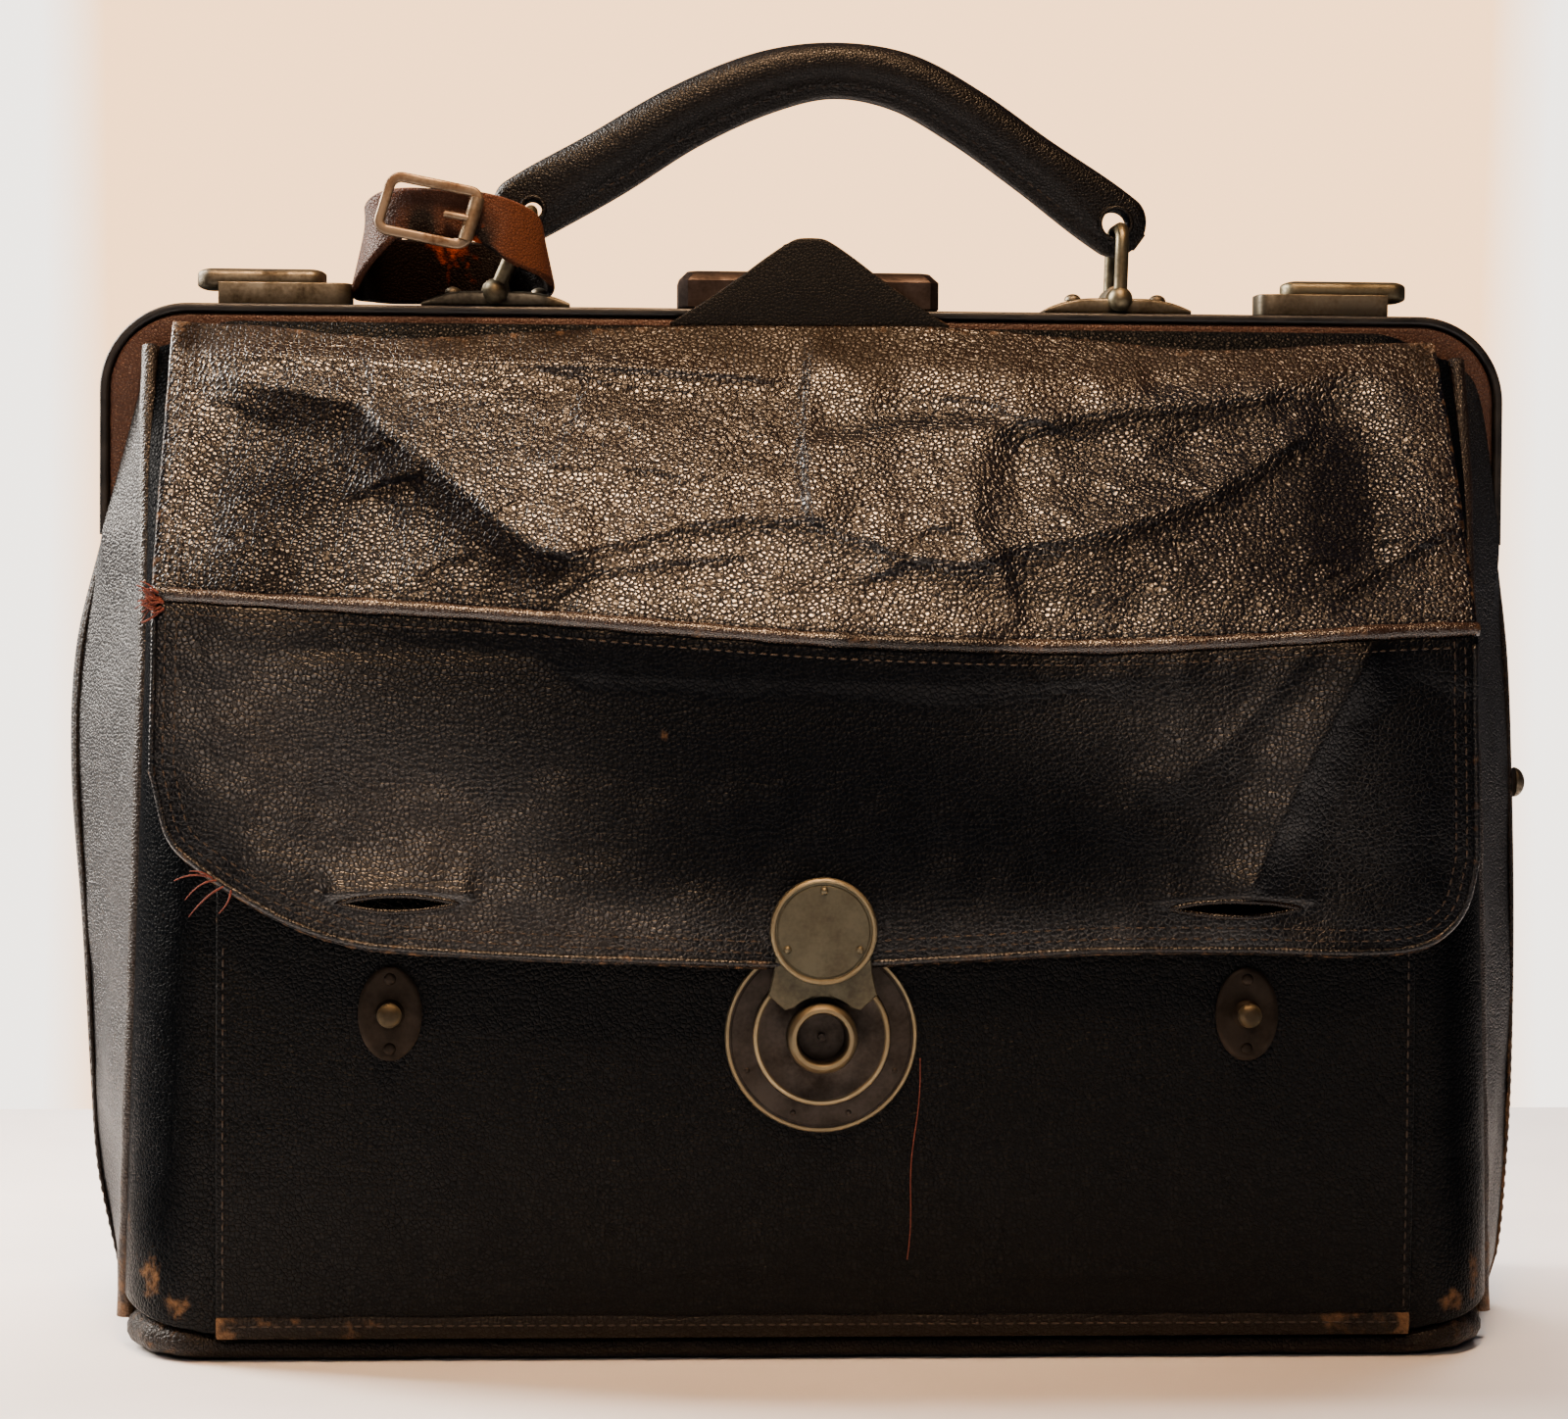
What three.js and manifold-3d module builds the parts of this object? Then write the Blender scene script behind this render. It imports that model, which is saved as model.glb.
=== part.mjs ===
// Old leather travel bag: hinged mouth frame, crumpled front flap with a hasp lock, rolled handle.
// Millimetres. +Z is up, the front faces -Y, and the floor is Z = 0 under the middle of the base.
import * as THREE from "three";
import { mergeVertices } from "three/addons/utils/BufferGeometryUtils.js";
import Module from "manifold-3d";

const wasm = await Module();
wasm.setup();

// Thickness of the leather, and the air left between neighbouring pieces
const WALL = 2;
const GUSSET_WALL = 1.8;
const FLAP_WALL = 1.8;
const POCKET_WALL = 1.6;
const GAP = 0.35;

// Front wall by height: depth of its flat face, then half width and depth of the corded side seam
const PROFILE = [
  { z: 6.8, face: 76, seamX: 190.2, seamY: 47 },
  { z: 50, face: 78, seamX: 189, seamY: 49.5 },
  { z: 110, face: 78, seamX: 187, seamY: 50 },
  { z: 165, face: 75.5, seamX: 185.6, seamY: 48 },
  { z: 196, face: 70, seamX: 185.2, seamY: 43.5 },
  { z: 215, face: 62, seamX: 185.4, seamY: 39 },
  { z: 240, face: 45.5, seamX: 186.3, seamY: 31 },
  { z: 262, face: 29, seamX: 187, seamY: 22.5 },
  { z: 277, face: 18.8, seamX: 187.2, seamY: 15.6 },
  { z: 284.5, face: 14.8, seamX: 187, seamY: 13 },
];
const WALL_FOOT = 6.8;
const WALL_TOP = 284.5;
const SEAM_TOP = 277;
const CORNER_WIDTH = 24;
const WELT_RADIUS = 2.4;

// Folded centre ridge of the soft ends by height
const RIDGE = [
  { z: 6.8, left: 195.5, right: 203.4 },
  { z: 18, left: 198.4, right: 206.8 },
  { z: 42, left: 203.8, right: 209 },
  { z: 68, left: 205.8, right: 210.2 },
  { z: 113, left: 208.3, right: 210.4 },
  { z: 157, left: 211.4, right: 209.2 },
  { z: 192, left: 210, right: 207.4 },
  { z: 223.4, left: 202.8, right: 203.6 },
];
const RIDGE_TOP = 223;
const TUCK = { share: 0.42, z: 223.4, x: 198.5, y: 13.4, topX: 189.5, topZ: 270, topShare: 0.95 };

// Stiff base
const BASE = { thick: 4, weltRadius: 3, weltHeight: 3.4, cornerSteps: 5, drawnIn: 5 };

// Pocket on the front
const POCKET = { half: 162, foot: 13, top: 186, standoff: 2.2 };

// Front flap by place across: height of its top edge, its raised bead and its bottom edge
const FLAP = [
  { x: -180.5, top: 284.3, bead: 207.3, bottom: 160 },
  { x: -176, top: 284, bead: 207, bottom: 143 },
  { x: -168, top: 283.6, bead: 206.5, bottom: 134.5 },
  { x: -154, top: 283, bead: 205.7, bottom: 125.5 },
  { x: -140, top: 281.5, bead: 204.9, bottom: 118.4 },
  { x: -126, top: 280.2, bead: 204.3, bottom: 114 },
  { x: -113, top: 279.9, bead: 203.7, bottom: 112.4 },
  { x: -75, top: 282.4, bead: 201.4, bottom: 110.3 },
  { x: -40, top: 284.4, bead: 198.8, bottom: 109.3 },
  { x: 0, top: 284.8, bead: 196.1, bottom: 108 },
  { x: 40, top: 284.8, bead: 194.7, bottom: 110 },
  { x: 75, top: 282.1, bead: 194.5, bottom: 112 },
  { x: 115, top: 279, bead: 196.3, bottom: 112.2 },
  { x: 150, top: 281, bead: 198.7, bottom: 111.6 },
  { x: 164, top: 281.5, bead: 199.4, bottom: 113.2 },
  { x: 172, top: 281.8, bead: 199.7, bottom: 117.8 },
  { x: 177, top: 282, bead: 199.9, bottom: 125 },
  { x: 180, top: 282, bead: 200, bottom: 137 },
];
const BEAD_RADIUS = 1.9;
const SLOT = { height: 3, left: { x: -114, z: 125, length: 31 }, right: { x: 112, z: 124, length: 35 } };

// How far the flap stands off the front wall by height
const STANDOFF = [
  { z: 105, off: 5.4 },
  { z: 160, off: 5.3 },
  { z: 196, off: 5.2 },
  { z: 240, off: 5.2 },
  { z: 268, off: 4.4 },
  { z: 285, off: 2.8 },
];

// Folds and dents of the flap: the line they follow, how far they rise and how wide they are
const FOLDS = [
  { x0: -124, z0: 264, x1: -79, z1: 224, rise: 2.8, width: 9 },
  { x0: -79, z0: 224, x1: -60, z1: 220, rise: 2.4, width: 7 },
  { x0: -60, z0: 220, x1: -9, z1: 231, rise: 2.4, width: 7 },
  { x0: 0, z0: 266, x1: -2, z1: 232, rise: -1.5, width: 6 },
  { x0: -2, z0: 229, x1: 41, z1: 216.5, rise: 2.2, width: 7 },
  { x0: 47, z0: 221, x1: 114, z1: 236, rise: 2.6, width: 8 },
  { x0: 114, z0: 236, x1: 146, z1: 259, rise: 2.2, width: 8 },
  { x0: 19, z0: 250, x1: 131, z1: 266, rise: -1.9, width: 9 },
  { x0: 153, z0: 244, x1: 160, z1: 236, rise: -2.2, width: 13 },
  { x0: -145, z0: 240, x1: -110, z1: 228, rise: 2, width: 20 },
  { x0: 142, z0: 190, x1: 115, z1: 128, rise: 2.8, width: 10 },
  { x0: -132, z0: 138, x1: -95, z1: 139, rise: 2.6, width: 12 },
  { x0: 95, z0: 137, x1: 128, z1: 137, rise: 2, width: 11 },
  { x0: -150, z0: 190, x1: 110, z1: 182, rise: -0.7, width: 8 },
  { x0: -22, z0: 110, x1: 22, z1: 110, rise: 1.6, width: 16 },
];
const FOLD_FREE_TOP = 20;
const EDGE_DROOP = 0.1;

// Mouth frame
const FRAME = { half: 202, top: 290, radius: 25, foot: 224, rail: 2.5, facing: 14, depth: 12 };
const RAIL_PROUD = 0.5;

// Fittings on top of the frame
const CASE = { half: 37.5, height: 10.7, depth: 22, chamfer: 2.2 };
const KNOB = { half: 7.8, height: 8, depth: 12 };
const TAB = { half: 39.5, height: 24.3, thick: 1.8, foot: 284.9, steps: 14 };
const CATCH = { base0: 131, base1: 169, wall: 1.1, half: 7, floor: 1.5, height: 6.2 };
const SLIDE = { end0: 138.6, end1: 175.5, half: 5.5, foot: 294.4, top: 300.7, crown: 1.6 };
const PLATE = { x: 90, length: 42.7, half: 7, height: 4.4, rivetAt: 12.4, rivetRadius: 2.35, boss: 4.4 };
const SHACKLE = { wire: 1.8, ball: 3.6, pin: 1.5, pivotZ: 294.2, half: 10.5 };
const SHACKLE_TOP = { left: { x: -80, z: 317.6 }, right: { x: 90.6, z: 314.8 } };
const HANDLE_HOLE = { radius: 4.8, left: { x: -79, z: 319.6 }, right: { x: 89.2, z: 316.9 } };

// Rolled handle along its middle: place, height of the section in its plane, thickness across
const HANDLE = [
  { x: -89.5, z: 314.2, high: 19, thick: 9 },
  { x: -77, z: 321.6, high: 20.2, thick: 10.5 },
  { x: -59, z: 331.8, high: 20, thick: 13 },
  { x: -36, z: 346, high: 19, thick: 15 },
  { x: -13, z: 356.2, high: 18, thick: 16 },
  { x: 7, z: 360, high: 16.2, thick: 16 },
  { x: 27, z: 357, high: 17, thick: 16 },
  { x: 46, z: 347, high: 17.4, thick: 15 },
  { x: 65, z: 333.9, high: 17.6, thick: 13 },
  { x: 84, z: 320.6, high: 19.4, thick: 10.5 },
  { x: 97, z: 311.4, high: 18.5, thick: 9 },
];
const HANDLE_ROUND = 8;

// Buckled strap round the left shackle
const STRAP = { x: -102, y: -0.5, z: 304.4, spanX: 28.4, spanY: 17.4, half: 6.3, thick: 2.4 };
const STRAP_BEND = { lift: 7, bow: 4.2, lean: 1.4, square: 0.6 };
const BUCKLE = { x: -107, z: 317.4, width: 28.5, height: 17.6, bar: 2.6, thick: 1.8, tilt: -0.17, y: -19.6 };

// Fittings on the front and the side
const LOCK = { z: 89, flange: 26.1, ring: 18.6, barrel: 9.7, recess: 7.1, hole: 2.9 };
const HASP = { z: 118, disc: 14.5, fork: 12.8, forkFoot: 96.6, arc: 10.5, rivetAt: 11.3, rivet: 1 };
const STUD = { x: 116, z: 95, halfX: 8.6, halfZ: 12.7, knob: 3.3, screwAt: 9.6, screw: 1.8 };
const SIDE_STUD = { z: 154.5, radius: 4.4, height: 3.2 };

// Value of one column of a table at any place along another, as a smooth curve
function column(table, along, wanted) {
  const place = table.map((row) => row[along]);
  const value = table.map((row) => row[wanted]);
  const last = place.length - 1;
  const slope = (i) => {
    const a = Math.max(i - 1, 0);
    const b = Math.min(i + 1, last);
    return (value[b] - value[a]) / (place[b] - place[a]);
  };
  return (at) => {
    const p = THREE.MathUtils.clamp(at, place[0], place[last]);
    let i = 0;
    while (i < last - 1 && p > place[i + 1]) i += 1;
    const h = place[i + 1] - place[i];
    const u = (p - place[i]) / h;
    const v = 1 - u;
    const ends = value[i] * (1 + 2 * u) * v * v + value[i + 1] * (1 + 2 * v) * u * u;
    return ends + h * (slope(i) * u * v * v - slope(i + 1) * v * u * u);
  };
}

const face = column(PROFILE, "z", "face");
const seamX = column(PROFILE, "z", "seamX");
const seamY = column(PROFILE, "z", "seamY");
const ridgeLeft = column(RIDGE, "z", "left");
const ridgeRight = column(RIDGE, "z", "right");
const ridgeX = (side, z) => (side < 0 ? ridgeLeft(z) : ridgeRight(z));
const standoff = column(STANDOFF, "z", "off");
const flapTop = column(FLAP, "x", "top");
const flapBead = column(FLAP, "x", "bead");
const flapBottom = column(FLAP, "x", "bottom");
const vec = (x, y, z) => new THREE.Vector3(x, y, z);

// Evenly spaced values from one end to the other
function spread(from, to, steps) {
  return Array.from({ length: steps + 1 }, (_, i) => from + ((to - from) * i) / steps);
}

// Geometry from a list of points and triangles
function meshed(points, triangles) {
  const geometry = new THREE.BufferGeometry();
  geometry.setAttribute("position", new THREE.Float32BufferAttribute(points.flatMap((p) => p.toArray()), 3));
  geometry.setIndex(triangles);
  geometry.computeVertexNormals();
  return geometry;
}

// Closed wall: a grid of outer points, the same grid moved inwards, and the edges between them
function wall(pointAt, columns, rows, thickness) {
  const nu = columns.length;
  const nv = rows.length;
  const outer = columns.map((u) => rows.map((v) => pointAt(u, v)));
  const points = outer.flat();
  outer.forEach((line, i) => {
    line.forEach((p, j) => {
      const across = outer[Math.min(i + 1, nu - 1)][j].clone().sub(outer[Math.max(i - 1, 0)][j]);
      const along = line[Math.min(j + 1, nv - 1)].clone().sub(line[Math.max(j - 1, 0)]);
      points.push(p.clone().addScaledVector(across.cross(along).normalize(), -thickness));
    });
  });
  const at = (i, j) => i * nv + j;
  const half = nu * nv;
  const triangles = [];
  for (let i = 0; i < nu - 1; i += 1) {
    for (let j = 0; j < nv - 1; j += 1) {
      const [a, b, c, d] = [at(i, j), at(i + 1, j), at(i + 1, j + 1), at(i, j + 1)];
      triangles.push(a, b, c, a, c, d);
      triangles.push(half + a, half + c, half + b, half + a, half + d, half + c);
    }
  }
  const edge = [
    ...columns.map((_, i) => at(i, 0)),
    ...rows.slice(1).map((_, j) => at(nu - 1, j + 1)),
    ...columns.slice(1).map((_, i) => at(nu - 2 - i, nv - 1)),
    ...rows.slice(1, -1).map((_, j) => at(0, nv - 2 - j)),
  ];
  edge.forEach((a, k) => {
    const b = edge[(k + 1) % edge.length];
    triangles.push(b, a, half + a, b, half + a, half + b);
  });
  return meshed(points, triangles);
}

// Skin over a row of rings of points, capped at both ends or joined into a loop
function skin(rings, loop = false) {
  const sides = rings[0].length;
  const points = rings.flat();
  const triangles = [];
  const joins = loop ? rings.length : rings.length - 1;
  for (let k = 0; k < joins; k += 1) {
    const next = (k + 1) % rings.length;
    for (let m = 0; m < sides; m += 1) {
      const n = (m + 1) % sides;
      const [a, b] = [k * sides + m, k * sides + n];
      const [c, d] = [next * sides + n, next * sides + m];
      triangles.push(a, b, c, a, c, d);
    }
  }
  if (!loop) {
    const end = (rings.length - 1) * sides;
    for (let m = 1; m < sides - 1; m += 1) {
      triangles.push(0, m + 1, m, end, end + m, end + m + 1);
    }
  }
  return meshed(points, triangles);
}

// Round cord along a row of points; the reference direction keeps the rings from twisting
function cord(path, radius, sides, reference, loop = false) {
  const count = path.length;
  const rings = path.map((p, k) => {
    const before = loop ? path[(k + count - 1) % count] : path[Math.max(k - 1, 0)];
    const after = loop ? path[(k + 1) % count] : path[Math.min(k + 1, count - 1)];
    const tangent = after.clone().sub(before).normalize();
    const normal = reference.clone().cross(tangent).normalize();
    const binormal = tangent.clone().cross(normal);
    return spread(0, 2 * Math.PI, sides).slice(0, sides).map((turn) => p.clone()
      .addScaledVector(normal, radius * Math.cos(turn))
      .addScaledVector(binormal, radius * Math.sin(turn)));
  });
  return skin(rings, loop);
}

// Flat outline in the X-Z plane given depth towards the front, starting at a plane across Y
function standing(shape, back, depth, segments = 4) {
  const geometry = new THREE.ExtrudeGeometry(shape, { depth, bevelEnabled: false, curveSegments: segments });
  return geometry.rotateX(Math.PI / 2).translate(0, back, 0);
}

// Turned piece about a line along Y; the profile runs from the front to the back
function turned(profile, segments, x, z) {
  const points = profile.map(([radius, y]) => new THREE.Vector2(radius, y));
  return new THREE.LatheGeometry(points, segments).translate(x, 0, z);
}

function solid(geometry) {
  const bare = geometry.clone();
  bare.deleteAttribute("normal");
  bare.deleteAttribute("uv");
  const merged = mergeVertices(bare, 1e-4);
  return new wasm.Manifold(new wasm.Mesh({
    numProp: 3,
    vertProperties: new Float32Array(merged.attributes.position.array),
    triVerts: new Uint32Array(merged.index.array),
  }));
}

function geometryOf(manifold) {
  const mesh = manifold.getMesh();
  const geometry = new THREE.BufferGeometry();
  geometry.setAttribute("position", new THREE.Float32BufferAttribute(mesh.vertProperties, 3));
  geometry.setIndex(Array.from(mesh.triVerts));
  geometry.computeVertexNormals();
  return geometry;
}

const joined = (...pieces) => geometryOf(pieces.map(solid).reduce((a, b) => a.add(b)));
const cut = (piece, ...tools) => geometryOf(tools.map(solid).reduce((a, b) => a.subtract(b), solid(piece)));

// Front wall at a share s across, from one side seam (-1) to the other (1)
const FLAT_SHARE = 0.6;
function panelPoint(s, z) {
  const side = Math.sign(s) || 1;
  const flat = seamX(z) - CORNER_WIDTH;
  if (Math.abs(s) <= FLAT_SHARE) return vec((s / FLAT_SHARE) * flat, -face(z), z);
  const drop = face(z) - seamY(z);
  const clear = WELT_RADIUS + GAP + 0.6;
  const stop = Math.sqrt(2 * (Math.hypot(drop * drop, CORNER_WIDTH * clear) - drop * drop)) / CORNER_WIDTH;
  const turn = (Math.PI / 2 - stop) * ((Math.abs(s) - FLAT_SHARE) / (1 - FLAT_SHARE));
  return vec(side * (flat + CORNER_WIDTH * Math.sin(turn)), -seamY(z) - drop * Math.cos(turn), z);
}

function panel(front) {
  const columns = [
    ...spread(-1, -FLAT_SHARE, 4),
    ...spread(-FLAT_SHARE, FLAT_SHARE, 4).slice(1),
    ...spread(FLAT_SHARE, 1, 4).slice(1),
  ];
  const pointAt = (s, share) => {
    const top = WALL_TOP - (WALL_TOP - SEAM_TOP) * THREE.MathUtils.smoothstep(Math.abs(s), FLAT_SHARE, 1);
    return panelPoint(s, WALL_FOOT + (top - WALL_FOOT) * share);
  };
  const geometry = wall(pointAt, columns, spread(0, 1, 13), WALL);
  return front ? geometry : geometry.rotateZ(Math.PI);
}

// Soft end: from the front seam over the ridge to the back seam; its top splits round the frame leg
function gusset(side) {
  const topAt = (s) => {
    if (s <= TUCK.share) return RIDGE_TOP + (TUCK.z - RIDGE_TOP) * (s / TUCK.share);
    return TUCK.z + (TUCK.topZ - TUCK.z) * ((s - TUCK.share) / (1 - TUCK.share));
  };
  const pointAt = (s, share) => {
    const size = Math.abs(s);
    const z = WALL_FOOT + (topAt(size) - WALL_FOOT) * share;
    const climb = Math.max(0, (z - TUCK.z) / (TUCK.topZ - TUCK.z));
    const tucked = z > TUCK.z;
    const inner = tucked ? vec(TUCK.x + (TUCK.topX - TUCK.x) * climb, TUCK.y, z) : vec(ridgeX(side, z), 0, z);
    const start = tucked ? TUCK.share + (TUCK.topShare - TUCK.share) * climb : 0;
    const seam = vec(seamX(z), seamY(z), z);
    const short = (WELT_RADIUS + GAP + 0.2) / seam.distanceTo(inner);
    const part = ((size - start) / (1 - start)) * (1 - short);
    const point = inner.clone().lerp(seam, part);
    return vec(side * point.x, side * Math.sign(s) * point.y, z);
  };
  const columns = [-1, -0.86, -0.7, -0.55, -TUCK.share, -0.2, 0, 0.2, TUCK.share, 0.55, 0.7, 0.86, 1];
  return wall(pointAt, columns, spread(0, 1, 11), GUSSET_WALL);
}

function welt(side, front) {
  const path = spread(WALL_FOOT + 0.6, SEAM_TOP, 13).map((z) => vec(side * seamX(z), front * seamY(z), z));
  return cord(path, WELT_RADIUS, 6, vec(1, 0, 0));
}

// Outline of the base as a loop of points, drawn in from the foot of the walls
function footprint(inset) {
  const flat = seamX(WALL_FOOT) - CORNER_WIDTH;
  const drop = face(WALL_FOOT) - seamY(WALL_FOOT);
  const corner = spread(0, 1, BASE.cornerSteps).map((share) => [
    flat + (CORNER_WIDTH - inset - BASE.drawnIn) * Math.sin((share * Math.PI) / 2),
    -seamY(WALL_FOOT) - (drop - inset) * Math.cos((share * Math.PI) / 2),
  ]);
  const middle = spread(0, flat, 3).slice(0, -1).map((x) => [x, -face(WALL_FOOT) + inset]);
  const half = (side) => {
    const end = [ridgeX(side, WALL_FOOT) - inset - BASE.drawnIn, 0];
    const quarter = [...middle, ...corner, end].map(([x, y]) => [side * x, y]);
    return [...quarter, ...quarter.slice(0, -1).reverse().map(([x, y]) => [x, -y])];
  };
  return [...half(1), ...half(-1).slice(1, -1).reverse()];
}

function basePanel() {
  const points = footprint(2 * BASE.weltRadius + GAP).map(([x, y]) => new THREE.Vector2(x, y));
  return new THREE.ExtrudeGeometry(new THREE.Shape(points), { depth: BASE.thick, bevelEnabled: false });
}

function baseWelt() {
  const path = footprint(BASE.weltRadius).map(([x, y]) => vec(x, y, BASE.weltHeight));
  return cord(path, BASE.weltRadius, 6, vec(0, 0, 1), true);
}

function pocketPiece(foot, top, rows) {
  const pointAt = (x, z) => vec(x, -face(z) - POCKET.standoff, z);
  return wall(pointAt, spread(-POCKET.half, POCKET.half, 6), spread(foot, top, rows), POCKET_WALL);
}

// Rise of all folds at one place on the flap
function foldRise(x, z) {
  const total = FOLDS.reduce((sum, fold) => {
    const [dx, dz] = [fold.x1 - fold.x0, fold.z1 - fold.z0];
    const along = ((x - fold.x0) * dx + (z - fold.z0) * dz) / (dx * dx + dz * dz);
    const t = THREE.MathUtils.clamp(along, 0, 1);
    const off = Math.hypot(x - fold.x0 - t * dx, z - fold.z0 - t * dz);
    return sum + fold.rise * Math.exp(-((off / fold.width) ** 2));
  }, 0);
  return total * THREE.MathUtils.smoothstep(flapTop(x) - z, 0, FOLD_FREE_TOP);
}

function flapPoint(x, z) {
  const droop = EDGE_DROOP * (face(z) - seamY(z)) * Math.max(0, (Math.abs(x) - 150) / 31) ** 2;
  return vec(x, -face(z) - standoff(z) - foldRise(x, z) + droop, z);
}

function flapUpper() {
  const pointAt = (x, share) => {
    const foot = flapBead(x) + BEAD_RADIUS + GAP;
    return flapPoint(x, foot + (flapTop(x) - foot) * share);
  };
  return wall(pointAt, spread(-180.5, 180, 30), spread(0, 1, 9), FLAP_WALL);
}

function flapLower() {
  const pointAt = (x, share) => {
    const head = flapBead(x) - BEAD_RADIUS - GAP;
    return flapPoint(x, flapBottom(x) + (head - flapBottom(x)) * share);
  };
  const columns = [...FLAP.map((row) => row.x), -100, -87, -58, -20, 20, 58, 95, 132].sort((a, b) => a - b);
  const leather = wall(pointAt, columns, spread(0, 1, 9), FLAP_WALL);
  const slots = [SLOT.left, SLOT.right].map((slot) => {
    const lens = new THREE.Shape();
    lens.moveTo(slot.x - slot.length / 2, slot.z);
    lens.quadraticCurveTo(slot.x, slot.z + SLOT.height, slot.x + slot.length / 2, slot.z);
    lens.quadraticCurveTo(slot.x, slot.z - SLOT.height, slot.x - slot.length / 2, slot.z);
    return standing(lens, -70, 40, 5);
  });
  return cut(leather, ...slots);
}

function flapBeadCord() {
  const path = spread(-181, 180.5, 24).map((x) => flapPoint(x, flapBead(x)).add(vec(0, 0.6, 0)));
  return cord(path, BEAD_RADIUS, 6, vec(0, 0, 1));
}

// Arch outline of the mouth frame with its legs
function arch(half, top, radius, band, foot) {
  const shape = new THREE.Shape();
  shape.moveTo(half, foot);
  shape.absarc(half - radius, top - radius, radius, 0, Math.PI / 2);
  shape.absarc(radius - half, top - radius, radius, Math.PI / 2, Math.PI);
  shape.lineTo(-half, foot);
  shape.lineTo(band - half, foot);
  shape.absarc(radius - half, top - radius, radius - band, Math.PI, Math.PI / 2, true);
  shape.absarc(half - radius, top - radius, radius - band, Math.PI / 2, 0, true);
  shape.lineTo(half - band, foot);
  return shape;
}

function facing(front) {
  const inset = FRAME.rail + GAP;
  const shape = arch(FRAME.half - inset, FRAME.top - inset, FRAME.radius - inset, FRAME.facing, FRAME.foot);
  const depth = FRAME.depth - GAP;
  return standing(shape, front ? -GAP : FRAME.depth, depth);
}

function rail(front) {
  const shape = arch(FRAME.half, FRAME.top, FRAME.radius, FRAME.rail, FRAME.foot);
  const depth = FRAME.depth + RAIL_PROUD - GAP;
  return standing(shape, front ? -GAP : FRAME.depth + RAIL_PROUD, depth);
}

// Box between two corners
function block(x0, y0, z0, x1, y1, z1) {
  const geometry = new THREE.BoxGeometry(Math.abs(x1 - x0), Math.abs(y1 - y0), Math.abs(z1 - z0));
  return geometry.translate((x0 + x1) / 2, (y0 + y1) / 2, (z0 + z1) / 2);
}

// Outline with rounded corners about a centre
function roundedRect(x, z, width, height, radius) {
  const shape = new THREE.Shape();
  const [a, b] = [width / 2 - radius, height / 2 - radius];
  shape.absarc(x + a, z + b, radius, 0, Math.PI / 2);
  shape.absarc(x - a, z + b, radius, Math.PI / 2, Math.PI);
  shape.absarc(x - a, z - b, radius, Math.PI, 1.5 * Math.PI);
  shape.absarc(x + a, z - b, radius, 1.5 * Math.PI, 2 * Math.PI);
  shape.closePath();
  return shape;
}

function lockCase() {
  const [half, deep, c] = [CASE.half, CASE.depth / 2, CASE.chamfer];
  const foot = FRAME.top + GAP;
  const ring = (z, inset) => [
    vec(half - inset, -deep + inset, z),
    vec(half - inset, deep - inset, z),
    vec(-half + inset, deep - inset, z),
    vec(-half + inset, -deep + inset, z),
  ];
  return skin([ring(foot, 0), ring(foot + CASE.height - c, 0), ring(foot + CASE.height, c)]);
}

function lockKnob() {
  const foot = FRAME.top + CASE.height + 2 * GAP;
  const shape = roundedRect(0, foot + KNOB.height / 2, 2 * KNOB.half, KNOB.height, 1.5);
  return standing(shape, KNOB.depth / 2, KNOB.depth, 2);
}

// Leather peak: a bell-shaped outline standing before the lock case
function pullTab() {
  const bell = (x) => Math.cos((Math.PI * x) / (2 * TAB.half)) ** 2;
  const pointAt = (x, share) => {
    const z = TAB.foot + share * (0.6 + TAB.height * bell(x));
    return vec(x, -FRAME.depth - RAIL_PROUD - GAP - TAB.thick - 0.2, z);
  };
  return wall(pointAt, spread(-TAB.half, TAB.half, TAB.steps), [0, 1], TAB.thick);
}

// Open channel with a rounded inner end; the slide runs in it
function catchBase(side) {
  const foot = FRAME.top + GAP;
  const middle = (CATCH.base0 + CATCH.base1) / 2;
  const shape = (grow, stretch) => {
    const half = CATCH.half - grow;
    const outline = new THREE.Shape();
    outline.moveTo(CATCH.base1 + stretch, -half);
    outline.lineTo(CATCH.base1 + stretch, half);
    outline.lineTo(middle, half);
    outline.lineTo(CATCH.base0 + grow + 4, half);
    outline.quadraticCurveTo(CATCH.base0 + grow, half, CATCH.base0 + grow, 0);
    outline.quadraticCurveTo(CATCH.base0 + grow, -half, CATCH.base0 + grow + 4, -half);
    outline.closePath();
    return outline;
  };
  const plain = { bevelEnabled: false, curveSegments: 4 };
  const body = new THREE.ExtrudeGeometry(shape(0, 0), { ...plain, depth: CATCH.height }).translate(0, 0, foot);
  const channel = new THREE.ExtrudeGeometry(shape(CATCH.wall, 5), { ...plain, depth: CATCH.height });
  const open = cut(body, channel.translate(0, 0, foot + CATCH.floor));
  return side > 0 ? open : open.rotateZ(Math.PI);
}

// Sliding cap with a rounded crown
function catchSlide(side) {
  const ring = (x, shrink) => {
    const half = SLIDE.half - shrink;
    const top = SLIDE.top - shrink;
    return [
      vec(x, -half, SLIDE.foot + shrink),
      vec(x, half, SLIDE.foot + shrink),
      vec(x, half, top - SLIDE.crown),
      vec(x, half - SLIDE.crown, top),
      vec(x, -half + SLIDE.crown, top),
      vec(x, -half, top - SLIDE.crown),
    ];
  };
  const { end0, end1 } = SLIDE;
  const geometry = skin([
    ring(end0, 1.5),
    ring(end0 + 1.5, 0.3),
    ring(end0 + 4, 0),
    ring(end1 - 4, 0),
    ring(end1 - 1.5, 0.3),
    ring(end1, 1.5),
  ]);
  return side > 0 ? geometry : geometry.rotateZ(Math.PI);
}

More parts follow.
